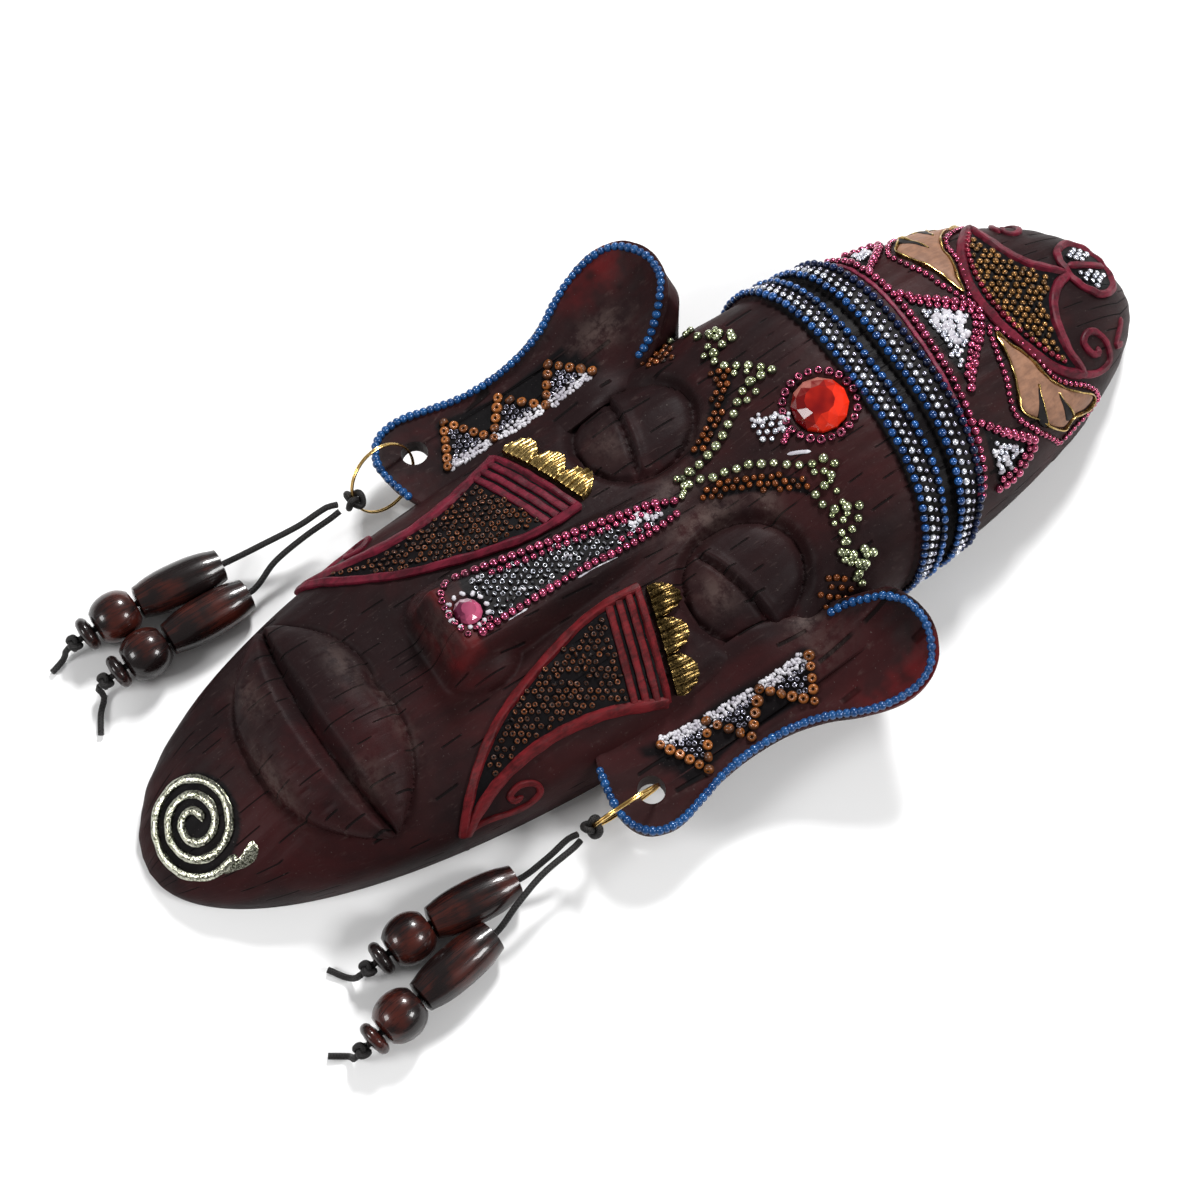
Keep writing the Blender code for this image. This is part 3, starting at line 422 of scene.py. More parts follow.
def patch(name, outline, height, rings=10, sunk=0.7, centre=None):
    # a raised field with rounded edges, laid from its middle to its outline
    line = spline(outline, closed=True, count=8)
    centre = line.mean(0) if centre is None else np.array(centre)
    rows = []
    for i in range(rings + 1):
        share = (i / rings) ** 0.8
        x, y = (centre + (line - centre) * share).T
        girth = girth_at(x, y)
        level = height * (1.0 - share ** 10) - (sunk if i == rings else 0.0)
        rows.append(carved(girth, y) + facing(carved, girth, y) * level)
    return laid_sheet(name, np.stack(rows))


def bead_form(kind):
    bpy.ops.object.select_all(action="DESELECT")
    if kind == "pearl":
        bpy.ops.mesh.primitive_ico_sphere_add(subdivisions=2, radius=1.0)
    elif kind == "lump":
        bpy.ops.mesh.primitive_ico_sphere_add(subdivisions=1, radius=1.0)
    elif kind == "holed":
        bpy.ops.mesh.primitive_torus_add(major_segments=12, minor_segments=7, major_radius=0.56,
                                         minor_radius=0.44)
    else:
        bpy.ops.mesh.primitive_torus_add(major_segments=9, minor_segments=5, major_radius=0.58,
                                         minor_radius=0.42)
    form = bpy.context.active_object
    points = np.array([v.co[:] for v in form.data.vertices])
    faces = [tuple(face.vertices) for face in form.data.polygons]
    bpy.data.objects.remove(form, do_unlink=True)
    return points, faces


BEAD_FORMS = {kind: bead_form(kind) for kind in ("pearl", "seed", "holed", "lump")}


def strew(name, batches, material, squash=1.0):
    # one piece of many beads; each batch holds the beads' kind, places, outward directions, radius and lean
    corners, faces, shades, hollow_shades = [], [], [], []
    count = 0
    for kind, places, outs, radius, lean in batches:
        form, form_faces = BEAD_FORMS[kind]
        for place, out in zip(places, outs):
            up = out + rng.normal(0.0, lean, 3)
            up /= np.linalg.norm(up)
            side = np.cross(up, (0.3, 1.0, 0.2))
            side /= np.linalg.norm(side)
            other = np.cross(up, side)
            turn = rng.uniform(0.0, 6.28)
            first = side * math.cos(turn) + other * math.sin(turn)
            second = np.cross(up, first)
            size = radius * rng.normal(1.0, 0.06)
            shaped = form * (size, size * rng.uniform(0.92, 1.04), size * squash)
            corners.append(place + shaped @ np.stack([first, second, up]))
            faces += [tuple(i + count for i in face) for face in form_faces]
            shades.append(np.full(len(form), rng.uniform(0.0, 1.0)))
            # painted shade: the depth mark is 1 in a holed bead's bore and grows towards the bead's underside,
            # where it sits on the surface
            middle = (np.hypot(form[:, 0], form[:, 1]) < 0.3) & (kind in ("seed", "holed"))
            hollow_shades.append(np.where(middle, 1.0, np.clip(0.75 - form[:, 2] * 1.1, 0.0, 1.0)))
            count += len(form)
    mesh = bpy.data.meshes.new(name)
    mesh.from_pydata((np.vstack(corners) * MM).tolist(), [], faces)
    for label, marks in (("shade", shades), ("depth", hollow_shades)):
        mesh.attributes.new(label, "FLOAT", "POINT").data.foreach_set("value", np.concatenate(marks))
    mesh.shade_smooth()
    piece = bpy.data.objects.new(name, mesh)
    bpy.context.scene.collection.objects.link(piece)
    return finish_piece(piece, material)


def row_of(route, kind, radius, step, closed=False, shift=0.0, lift=0.35, lean=0.22):
    line = evenly(route, step, closed, shift)
    out = facing(carved, line[:, 0], line[:, 1])
    return kind, carved(line[:, 0], line[:, 1]) + out * (radius * lift), out, radius, lean


def spots_in(outline, pitch, inset, keep=1.0, jitter=0.12):
    # spots in staggered rows over a closed outline
    corners = np.asarray(outline, float)
    low, high = corners.min(0), corners.max(0)
    rows = []
    for j, y in enumerate(np.arange(low[1], high[1] + pitch, pitch * 0.87)):
        xs = np.arange(low[0] - pitch, high[0] + pitch, pitch) + (j % 2) * pitch / 2.0
        rows.append(np.stack([xs, np.full_like(xs, y)], -1))
    spots = np.vstack(rows)
    spots = spots + rng.uniform(-jitter, jitter, spots.shape) * pitch
    return spots[(depth_inside(spots[:, 0], spots[:, 1], outline) > inset) & (rng.random(len(spots)) < keep)]


def field_of(outline, kind, radius, pitch, inset, lift=0.3, lean=0.3, keep=1.0):
    spots = spots_in(outline, pitch, inset, keep)
    girth = girth_at(spots[:, 0], spots[:, 1])
    out = facing(carved, girth, spots[:, 1])
    return kind, carved(girth, spots[:, 1]) + out * (radius * lift), out, radius, lean


def mirrored(points):
    return [(-x, y) for x, y in points]


# Shader maths

class Value:
    # a shader socket that is used in plain arithmetic

    def __init__(self, recipe, socket):
        self.recipe, self.socket = recipe, socket

    def maths(self, operation, *values):
        return self.recipe.node("ShaderNodeMath", {"operation": operation}, dict(enumerate(values)))

    def __add__(self, other):
        return self.maths("ADD", self, other)

    def __radd__(self, other):
        return self.maths("ADD", other, self)

    def __sub__(self, other):
        return self.maths("SUBTRACT", self, other)

    def __rsub__(self, other):
        return self.maths("SUBTRACT", other, self)

    def __mul__(self, other):
        return self.maths("MULTIPLY", self, other)

    def __rmul__(self, other):
        return self.maths("MULTIPLY", other, self)

    def __truediv__(self, other):
        return self.maths("DIVIDE", self, other)

    def __rtruediv__(self, other):
        return self.maths("DIVIDE", other, self)


class Recipe:
    # a material in the making

    def __init__(self, name, **constants):
        self.material = bpy.data.materials.new(name)
        self.material.use_nodes = True
        self.tree = self.material.node_tree
        self.shader = self.tree.nodes["Principled BSDF"]
        for key, value in constants.items():
            self.shader.inputs[key.replace("_", " ")].default_value = value

    def feed(self, socket, value):
        if isinstance(value, Value):
            self.tree.links.new(value.socket, socket)
        else:
            socket.default_value = value

    def node(self, kind, settings=None, inputs=None, output=0):
        made = self.tree.nodes.new(kind)
        for key, value in (settings or {}).items():
            if key == "stops":
                for spot in made.color_ramp.elements[1:-1]:
                    made.color_ramp.elements.remove(spot)
                while len(made.color_ramp.elements) < len(value):
                    made.color_ramp.elements.new(0.5)
                for spot, (place, colour) in zip(made.color_ramp.elements, value):
                    spot.position = place
                    spot.color = (*colour, 1.0)
            else:
                setattr(made, key, value)
        for key, value in (inputs or {}).items():
            self.feed(made.inputs[key], value)
        return Value(self, made.outputs[output])

    def place(self):
        return self.node("ShaderNodeTexCoord", output="Object")

    def axis(self, vector, name):
        return self.node("ShaderNodeSeparateXYZ", inputs={0: vector}, output=name)

    def scaled(self, vector, factors):
        return self.node("ShaderNodeVectorMath", {"operation": "MULTIPLY"}, {0: vector, 1: factors})

    def noise(self, vector, scale, detail=3.0, rough=0.55, twist=0.0):
        return self.node("ShaderNodeTexNoise", inputs={"Vector": vector, "Scale": scale, "Detail": detail,
                                                       "Roughness": rough, "Distortion": twist})

    def mix(self, first, second, share):
        settings = {"data_type": "RGBA"}
        return self.node("ShaderNodeMix", settings, {0: share, 6: first, 7: second}, output=2)

    def smooth(self, value, low, high):
        return self.node("ShaderNodeMapRange", {"interpolation_type": "SMOOTHSTEP"},
                         {0: value, 1: low, 2: high, 3: 0.0, 4: 1.0})

    def bump(self, height, strength, distance):
        values = {"Height": height, "Strength": strength, "Distance": distance}
        return self.node("ShaderNodeBump", inputs=values)

    def done(self, colour=None, rough=None, normal=None, metal=None):
        values = {"Base Color": colour, "Roughness": rough, "Normal": normal, "Metallic": metal}
        for name, value in values.items():
            if value is not None:
                self.feed(self.shader.inputs[name], value)
        return self.material


def colour(red, green, blue):
    return (red, green, blue, 1.0)


def carved_resin():
    r = Recipe("carved_resin", Specular_IOR_Level=0.07)
    place = r.place()
    x, y, z = (r.axis(place, name) for name in "XYZ")
    flat = z.maths("MINIMUM", z, 0.02)
    around = x.maths("ARCTAN2", x, flat + 0.016) * 37.0
    flow = r.node("ShaderNodeCombineXYZ", inputs={0: around * 0.001, 1: y * 0.12, 2: 0.0})
    grain = r.noise(flow, 1400.0, 5.0, 0.6, 0.2)
    wander = r.noise(r.scaled(place, (1.0, 1.0, 0.0)), 16.0, 1.0)
    strand = around / 3.2 + wander * 0.8
    row = strand.maths("FLOOR", strand)
    across = (strand - row - 0.5).maths("ABSOLUTE", strand - row - 0.5)
    dashes = r.node("ShaderNodeCombineXYZ", inputs={0: row * 3.7, 1: y * 75.0, 2: 0.0})
    dashed = r.smooth(r.noise(dashes, 1.0, 0.0), 0.56, 0.6)
    cut = (1.0 - r.smooth(across, 0.03, 0.08)) * dashed
    patches = r.smooth(r.noise(place, 17.0, 4.0, 0.6), 0.42, 0.66)
    ruddy = r.smooth(r.noise(r.scaled(place, (1.0, 0.6, 1.0)), 30.0, 4.0, 0.65, 0.6), 0.44, 0.7)
    base = r.mix(colour(0.0112, 0.0052, 0.0057), colour(0.0215, 0.0078, 0.0080), patches)
    base = r.mix(base, colour(0.040, 0.0066, 0.0074), ruddy * 0.5)
    base = r.mix(base, colour(0.080, 0.055, 0.050), r.smooth(grain, 0.58, 0.8) * 0.42)
    base = r.mix(base, colour(0.003, 0.002, 0.002), cut * 0.9)
    # the ear tips and the nose's front are worn to red
    worn = r.smooth(r.noise(place, 60.0, 3.0), 0.35, 0.6)
    tip = r.smooth(x.maths("ABSOLUTE", x), 0.07, 0.084) * r.smooth(y, 0.012, 0.03)
    front = r.smooth(y, -0.094, -0.076) * (1.0 - r.smooth(y, -0.07, -0.066)) * r.smooth(z, 0.036, 0.048)
    bare = (tip + front).maths("MINIMUM", tip + front, 1.0) * worn
    base = r.mix(base, colour(0.095, 0.008, 0.009), bare * 0.8)
    # lighter colour on raised places, partly real rubbed wear and partly painted highlight
    rubbed = r.node("ShaderNodeAttribute", {"attribute_name": "rubbed"}, output="Fac")
    scuffs_and_highlights = rubbed * r.smooth(r.noise(place, 210.0, 5.0, 0.7), 0.36, 0.62)
    base = r.mix(base, colour(0.085, 0.058, 0.052), scuffs_and_highlights * 0.7)
    ink = r.node("ShaderNodeAttribute", {"attribute_name": "ink"}, output="Fac")
    base = r.mix(base, colour(0.0021, 0.0019, 0.0024), ink * 0.95)
    specks = r.smooth(r.noise(place, 1500.0, 1.0), 0.73, 0.78)
    base = r.mix(base, colour(0.14, 0.12, 0.11), specks * 0.3)
    rough = 0.46 + grain * 0.14 - patches * 0.06 + cut * 0.2
    height = grain * 0.22 - cut * 1.2 + r.noise(place, 300.0, 3.0) * 0.3
    return r.done(base, rough, r.bump(height, 0.7, 0.0006))


def bead_paint(name, light, dark, metallic=0.0, rough=0.2, dirt_and_shade_strength=0.5, coat=0.2):
    r = Recipe(name, Metallic=metallic, Specular_IOR_Level=0.35, Coat_Weight=coat, Coat_Roughness=0.06)
    place = r.place()
    shade = r.node("ShaderNodeAttribute", {"attribute_name": "shade"}, output="Fac")
    low = r.node("ShaderNodeAttribute", {"attribute_name": "depth"}, output="Fac")
    # painted shade in the beads' bores and under the beads, from the depth mark, mixed with real dirt from the
    # noise
    dirt_and_shade = r.smooth(r.noise(place, 700.0, 3.0, 0.6) * 0.5 + low, 0.5, 0.95)
    base = r.mix(colour(*dark), colour(*light), 0.25 + shade * 0.75)
    base = r.mix(base, colour(0.004, 0.003, 0.0035), dirt_and_shade * dirt_and_shade_strength)
    return r.done(base, rough + dirt_and_shade * 0.25, r.bump(r.noise(place, 1400.0, 2.0), 0.25, 0.0003))


def brushed_paint(name, light, dark, rough=0.35):
    r = Recipe(name, Specular_IOR_Level=0.15)
    place = r.place()
    cloud = r.noise(place, 160.0, 4.0, 0.6, 0.3)
    streak = r.noise(r.scaled(place, (1.0, 0.25, 1.0)), 900.0, 3.0)
    base = r.mix(colour(*dark), colour(*light), r.smooth(cloud * 0.6 + streak * 0.4, 0.36, 0.62))
    height = streak * 0.5 + cloud
    return r.done(base, rough + cloud * 0.15, r.bump(height, 0.4, 0.0005))


def metal_leaf(name, light, dark, rough, reach, crease):
    # crinkled foil that is rubbed down to the dark ground here and there
    r = Recipe(name, Metallic=1.0)
    place = r.place()
    crinkle = r.noise(place, 1900.0, 4.0, 0.65, 0.4)
    rubbed = r.smooth(r.noise(place, 420.0, 4.0, 0.7), 0.56, 0.68)
    base = r.mix(colour(*dark), colour(*light), r.smooth(crinkle, *reach))
    base = r.mix(base, colour(0.02, 0.014, 0.01), rubbed * 0.6)
    return r.done(base, rough + rubbed * 0.3, r.bump(crinkle, crease, 0.0004))


def stained_wood():
    r = Recipe("stained_wood", Specular_IOR_Level=0.2, Coat_Weight=0.4, Coat_Roughness=0.06)
    lay = r.node("ShaderNodeTexCoord", output="UV")
    fibre = r.noise(r.scaled(lay, (60.0, 3.0, 1.0)), 1.0, 5.0, 0.6, 0.5)
    cloud = r.noise(r.place(), 70.0, 3.0)
    reddish = r.smooth(fibre * 0.4 + cloud * 0.75, 0.52, 0.78)
    base = r.mix(colour(0.007, 0.004, 0.004), colour(0.058, 0.010, 0.006), reddish)
    base = r.mix(base, colour(0.004, 0.003, 0.003), r.smooth(fibre, 0.6, 0.75) * 0.7)
    return r.done(base, 0.22 + fibre * 0.12, r.bump(fibre, 0.25, 0.0003))


def waxed_cord():
    r = Recipe("waxed_cord", Specular_IOR_Level=0.2)
    lay = r.node("ShaderNodeTexCoord", output="UV")
    u, v = r.axis(lay, "X"), r.axis(lay, "Y")
    twist, other = u.maths("SINE", u * 25.13 + v * 420.0), u.maths("SINE", u * 25.13 - v * 420.0)
    weave = twist.maths("MAXIMUM", twist, other)
    base = r.mix(colour(0.004, 0.004, 0.004), colour(0.022, 0.02, 0.02), r.smooth(weave, -0.2, 0.9))
    return r.done(base, 0.5, r.bump(weave, 0.35, 0.0002))


def gold_wire():
    r = Recipe("gold_wire", Metallic=1.0)
    tarnish = r.smooth(r.noise(r.place(), 240.0, 4.0), 0.5, 0.7)
    base = r.mix(colour(0.83, 0.56, 0.20), colour(0.30, 0.17, 0.06), tarnish * 0.6)
    return r.done(base, 0.16 + tarnish * 0.2)


def cut_gem(name, bright, deep, pale):
    # acrylic gem with painted reflections: each facet's colour is set by which way it faces, lit towards +X and
    # +Y, with a pale painted highlight on facets that face -X
    r = Recipe(name, Roughness=0.05, Specular_IOR_Level=0.4)
    out = r.node("ShaderNodeNewGeometry", output="True Normal")
    x, y = r.axis(out, "X"), r.axis(out, "Y")
    place = r.place()
    inner = r.noise(place, 190.0, 1.0)
    lit = r.smooth(x * 1.3 + y * 0.9 + inner * 0.9, 0.0, 1.25)
    base = r.mix(colour(*deep), colour(*bright), lit)
    glint = r.smooth(0.0 - x * 1.2 + y * 0.2 + inner * 0.4, 0.72, 0.95)
    return r.done(r.mix(base, colour(*pale), glint * 0.6))


RESIN = carved_resin()
CRIMSON = brushed_paint("crimson_paint", (0.125, 0.007, 0.020), (0.045, 0.003, 0.008), 0.42)
SCARLET = brushed_paint("scarlet_paint", (0.12, 0.007, 0.010), (0.042, 0.003, 0.004), 0.42)
TAN = brushed_paint("tan_paint", (0.26, 0.135, 0.083), (0.165, 0.085, 0.055), 0.45)
WHITE = brushed_paint("white_paint", (0.60, 0.59, 0.62), (0.30, 0.28, 0.32), 0.4)
GOLD = metal_leaf("gold_leaf", (0.52, 0.36, 0.13), (0.11, 0.07, 0.02), 0.26, (0.34, 0.6), 0.1)
SILVER = metal_leaf("silver_leaf", (0.68, 0.68, 0.56), (0.045, 0.05, 0.022), 0.14, (0.42, 0.58), 0.35)
# painted shade: the right comb's gold leaf is a darker copy of the left comb's, at about half the brightness
SHADED_GOLD = metal_leaf("shaded_gold_leaf", (0.25, 0.165, 0.055), (0.03, 0.019, 0.008), 0.26, (0.4, 0.66), 0.12)
PINK_PAINT = brushed_paint("pink_paint", (0.20, 0.02, 0.05), (0.07, 0.006, 0.018), 0.4)
INK = brushed_paint("ink_paint", (0.008, 0.006, 0.006), (0.003, 0.002, 0.002), 0.5)
BLUE_BEAD = bead_paint("blue_bead", (0.012, 0.085, 0.29), (0.003, 0.016, 0.07), 0.3, 0.14, 0.85, 0.6)
BLUE_RIM = bead_paint("blue_rim_bead", (0.010, 0.070, 0.21), (0.004, 0.030, 0.11), 0.1, 0.2, 0.45)
NIGHT_BEAD = bead_paint("night_bead", (0.006, 0.020, 0.09), (0.002, 0.004, 0.014), 0.3, 0.18, 0.5)
SILVER_BEAD = bead_paint("silver_bead", (0.88, 0.90, 0.97), (0.32, 0.34, 0.42), 0.75, 0.2, 0.95)
PINK_BEAD = bead_paint("pink_bead", (0.48, 0.080, 0.165), (0.14, 0.014, 0.04), 0.8, 0.14, 0.85, 0.35)
GREEN_BEAD = bead_paint("green_bead", (0.60, 0.66, 0.40), (0.17, 0.19, 0.09), 0.9, 0.14, 0.8, 0.35)
AMBER_BEAD = bead_paint("amber_bead", (0.19, 0.05, 0.009), (0.006, 0.0025, 0.0015), 0.35, 0.2, 0.92, 0.05)
HONEY_BEAD = bead_paint("honey_bead", (0.24, 0.115, 0.033), (0.02, 0.009, 0.004), 0.7, 0.24, 0.97, 0.1)
WOOD_BEAD = bead_paint("wood_bead", (0.34, 0.11, 0.022), (0.09, 0.026, 0.007), 0.1, 0.22, 0.7)
STEEL_BEAD = bead_paint("steel_bead", (0.46, 0.45, 0.56), (0.03, 0.03, 0.05), 0.8, 0.18, 0.85)
RUBY_BEAD = bead_paint("ruby_bead", (0.24, 0.012, 0.035), (0.06, 0.004, 0.009), 0.5, 0.2, 0.5)
CORD_BLACK = waxed_cord()
BEAD_WOOD = stained_wood()
WIRE = gold_wire()


# Camera, at the photograph's viewing angle

VIEW_RIGHT = Vector((0.5519, 0.8339, 0.0))
VIEW_BACK = Vector((0.3178, -0.2103, 0.9245))
VIEW_FROM = Vector((0.2902, -0.2115, 0.8424))
LENS, SENSOR = 87.0, 36.0


def place_camera():
    up = VIEW_BACK.cross(VIEW_RIGHT).normalized()
    right = up.cross(VIEW_BACK).normalized()
    back = VIEW_BACK.normalized()
    data = bpy.data.cameras.new("view")
    data.lens, data.sensor_width = LENS, SENSOR
    data.clip_end = 20.0
    view = bpy.data.objects.new("view", data)
    view.matrix_world = Matrix((
        (right.x, up.x, back.x, VIEW_FROM.x),
        (right.y, up.y, back.y, VIEW_FROM.y),
        (right.z, up.z, back.z, VIEW_FROM.z),
        (0.0, 0.0, 0.0, 1.0),
    ))
    bpy.context.scene.collection.objects.link(view)
    bpy.context.scene.camera = view


place_camera()


# Tassels: sizes and routes as the solids have them, in metres

CORD = 0.002
BORE = 0.0026
BARREL = (0.014, 0.029, 0.0084)
ROUND = (0.0158, 0.0142, 0.0064)
SAUCER = (0.0112, 0.0044, 0.0050)
END_KNOT = (0.0054, 0.0044, 0.0038)
RING_KNOT_WIDTH = 0.0074
BEAD_GAP = 0.0007
BEAD_LIFT = 0.00035
RING_RADIUS = 0.0118
PITCHES = {"barrel": 3.0, "round": 0.0, "saucer": -8.0, "end_knot": -16.0}
RING_PLACES = {
    "left": ((-65.5, -57.7, 17.0), (0.901, 0.163, 0.402)),
    "right": ((66.5, -54.2, 17.5), (0.979, -0.003, -0.202)),
}
STRANDS = {
    "left_a": {
        "side": "left",
        "route": ((-67.6, -77.4, 14.8), (-68.0, -87.0, 12.6), (-70.0, -100.2, 9.8)),
        "barrel": (-73.8, -128.0),
        "headings": (-95.0, -89.0),
        "tail": ((-74.4, -170.4, 1.2), (-72.6, -175.4, 1.1)),
    },
    "left_b": {
        "side": "left",
        "route": ((-63.6, -78.2, 15.0), (-64.2, -88.0, 11.6), (-63.0, -99.5, 9.4)),
        "barrel": (-59.4, -126.2),
        "headings": (-89.5, -88.0),
        "tail": ((-56.6, -166.0, 1.2), (-52.4, -169.6, 1.1), (-46.4, -173.0, 1.1)),
    },
    "right_a": {
        "side": "right",
        "route": ((64.2, -73.4, 12.6), (65.0, -81.0, 10.0)),
        "barrel": (63.7, -106.8),
        "headings": (-95.0, -87.0),
        "tail": ((61.4, -149.6, 1.2), (55.6, -153.6, 1.1)),
    },
    "right_b": {
        "side": "right",
        "route": ((67.6, -73.3, 13.4), (69.4, -86.0, 13.2), (72.6, -97.0, 11.6)),
        "barrel": (77.6, -121.6),
        "headings": (-81.0, -80.5),
        "tail": ((81.6, -162.0, 1.2), (78.0, -167.2, 1.1)),
    },
}
CORD_STEP = 0.0018
# the knots' loops of cord: width, length and the cord's radius
RING_LOOP, TAIL_LOOP = (0.0078, 0.0058, 0.00105), (0.0062, 0.0044, 0.00095)


def ring_knot_place(side):
    centre, axis = RING_PLACES[side]
    axis = Vector(axis).normalized()
    chinward = Vector((0.0, -1.0, 0.0))
    outward = (chinward - axis * chinward.dot(axis)).normalized()
    return Vector(centre) * MM + outward * RING_RADIUS, axis.cross(outward)


def way_of(heading, pitch):
    turn, rise = math.radians(heading), math.radians(pitch)
    return Vector((math.cos(turn) * math.cos(rise), math.sin(turn) * math.cos(rise), math.sin(rise)))


def strand_beads(strand):
    first, second = strand["headings"]
    x, y = strand["barrel"]
    way = way_of(first, PITCHES["barrel"])
    middle = Vector((x * MM, y * MM, BARREL[0] / 2.0 + BEAD_LIFT))
    places = [("barrel", BARREL, middle, way)]
    end = middle + way * (BARREL[1] / 2.0 + BEAD_GAP / 2.0)
    for kind, sizes in (("round", ROUND), ("saucer", SAUCER), ("end_knot", END_KNOT)):
        way = way_of(second, PITCHES[kind])
        middle = end + way * (BEAD_GAP / 2.0 + sizes[1] / 2.0)
        places.append((kind, sizes, middle, way))
        end = middle + way * (sizes[1] / 2.0 + BEAD_GAP / 2.0)
    return places


def hermite(start, start_way, end, end_way, steps):
    pull = (end - start).length
    points = []
    for i in range(1, steps + 1):
        t = i / steps
        points.append(start * (2.0 * t ** 3 - 3.0 * t ** 2 + 1.0)
                      + start_way * (pull * (t ** 3 - 2.0 * t ** 2 + t))
                      + end * (3.0 * t ** 2 - 2.0 * t ** 3) + end_way * (pull * (t ** 3 - t ** 2)))
    return points


def smooth_run(stops, first_way, last_way):
    ways = [first_way]
    for before, after in zip(stops, stops[2:]):
        ways.append((after - before).normalized())
    ways.append(last_way)
    points = [stops[0]]
    for i in range(len(stops) - 1):
        steps = max(1, round((stops[i + 1] - stops[i]).length / CORD_STEP))
        points += hermite(stops[i], ways[i], stops[i + 1], ways[i + 1], steps)
    return points


def strand_path(strand):
    knot, _ = ring_knot_place(strand["side"])
    beads = strand_beads(strand)
    half = BEAD_GAP / 2.0
    _, sizes, middle, way = beads[0]
    entry = middle - way * (sizes[1] / 2.0 + half)
    first = Vector(strand["route"][0]) * MM
    out = (first - knot).normalized()
    stops = [knot + out * (RING_KNOT_WIDTH / 2.0 + CORD)] + [Vector(point) * MM for point in strand["route"]]
    points = smooth_run(stops + [entry], out, way)
    for _, sizes, middle, way in beads:
        points.append(middle)
        points.append(middle + way * (sizes[1] / 2.0 + half))
    stops = [points.pop()] + [Vector(point) * MM for point in strand["tail"]]
    return points + smooth_run(stops, way, (stops[-1] - stops[-2]).normalized())


def tube(name, path, radius, closed=False, sides=12):
    # a cord's tube; the path is in metres and the sheet in millimetres
    line = np.array([tuple(point) for point in path]) / MM
    if closed:
        way = np.roll(line, -1, axis=0) - np.roll(line, 1, axis=0)
        line, way = np.vstack([line, line[:1]]), np.vstack([way, way[:1]])
    else:
        way = np.gradient(line, axis=0)
    way /= np.linalg.norm(way, axis=1, keepdims=True)
    up = np.array([0.13, 0.21, 0.97])
    frames = []
    for direction in way:
        up = up - direction * up.dot(direction)
        up /= np.linalg.norm(up)
        frames.append((up, np.cross(direction, up)))
    angles = np.linspace(0.0, 2.0 * math.pi, sides + 1)
    rows = [middle + radius / MM * (np.cos(angles)[:, None] * a + np.sin(angles)[:, None] * b)
            for middle, (a, b) in zip(line, frames)]
    if closed:
        rows[-1] = rows[0]
    rows = np.stack(rows)
    rows[:, -1] = rows[:, 0]
    return laid_sheet(name, rows, 60.0)


def frame_at(place, axis):
    return Matrix.Translation(place) @ Vector(axis).normalized().to_track_quat("Z", "Y").to_matrix().to_4x4()


def knot_piece(name, node, place, axis, width, length, cord):
    # an overhand knot's own loop of cord
    turns = np.linspace(0.0, 2.0 * math.pi, 72, endpoint=False)
    flat = (width / 2.0 - cord) / 3.0
    tall = length / 2.0 - cord
    loop = np.stack([flat * (np.sin(turns) + 2.0 * np.sin(2.0 * turns)),
                     flat * (np.cos(turns) - 2.0 * np.cos(2.0 * turns)), -tall * np.sin(3.0 * turns)], -1)
    turned = frame_at(place, axis)
    piece = tube(name, [turned @ Vector(point) for point in loop], cord, closed=True, sides=10)
    finish_piece(piece, CORD_BLACK)
    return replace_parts(piece, node)


def turned_bead(name, node, sizes, place, axis, fullness):
    # a turned wooden bead with its bore and softened ends
    width, length, end_width = sizes
    levels = np.linspace(-1.0, 1.0, 25)
    girths = blend(end_width, width, (1.0 - np.abs(levels) ** fullness[0]) ** fullness[1]) / 2.0
    outer = [(r, z * length / 2.0) for r, z in zip(girths, levels)]
    edge = 0.0004
    outer[0] = (outer[0][0] - edge, outer[0][1])
    outer[-1] = (outer[-1][0] - edge, outer[-1][1])
    outer[1] = (max(outer[1][0], outer[0][0] + edge), outer[0][1] + edge)
    outer[-2] = (outer[1][0], outer[-1][1] - edge)
    bore = BORE / 2.0
    profile = [(bore, -length / 2.0)] + outer + [(bore, length / 2.0), (bore, -length / 2.0)]
    angles = np.linspace(0.0, 2.0 * math.pi, 41)
    rows = np.array([[(r * math.cos(a), r * math.sin(a), z) for a in angles] for r, z in profile])
    turned = np.array(frame_at(place, axis))
    rows = (rows @ turned[:3, :3].T + turned[:3, 3]) / MM
    rows[:, -1] = rows[:, 0]
    rows[-1] = rows[0]
    piece = laid_sheet(name, rows, 50.0)
    finish_piece(piece, BEAD_WOOD)
    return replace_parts(piece, node)


def hang_tassels():
    forms = {"barrel": (2.3, 0.62), "round": (2.0, 0.5), "saucer": (2.4, 0.6)}
    for side in RING_PLACES:
        place, along = ring_knot_place(side)
        knot_piece("wound_knot_" + side, "ring_knot_" + side, place, along, *RING_LOOP)
    for name, strand in STRANDS.items():
        path = strand_path(strand)
        for kind, sizes, middle, along in strand_beads(strand):
            if kind == "end_knot":
                piece = knot_piece("tail_knot_" + name, "end_knot_" + name, middle, along, *TAIL_LOOP)
            else:
                node = kind + "_" + name
                piece = turned_bead("turned_" + node, node, sizes, middle, along, forms[kind])
        line = tube("waxed_strand_" + name, path, CORD / 2.0)
        finish_piece(line, CORD_BLACK)
        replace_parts(line, "strand_" + name)
        length = sum((b - a).length for a, b in zip(path, path[1:]))


hang_tassels()


# Head

# where the surface is lighter, partly rubbed wear and partly painted highlight: the middle, the reach along X
# and Y, and how much
HEAD_WEAR_AND_HIGHLIGHT = (((-4.5, 10.0), (5.0, 9.0), 0.7), ((8.5, 12.0), (4.0, 12.0), 1.0), ((15.0, 31.0), (6.0, 3.5), 0.8),
             ((-15.0, 29.0), (4.0, 6.0), 0.5), ((30.0, 3.0), (6.0, 5.0), 0.8), ((-30.0, 3.0), (6.0, 5.0), 0.5),
             ((10.0, -99.0), (14.0, 3.0), 0.6), ((-12.0, -104.0), (10.0, 4.0), 0.5),
             ((22.0, -116.0), (6.0, 6.0), 0.5), ((8.0, -139.0), (12.0, 2.5), 0.9),
             ((-20.0, -132.0), (9.0, 4.0), 0.6), ((0.0, -76.0), (8.0, 4.0), 0.4))


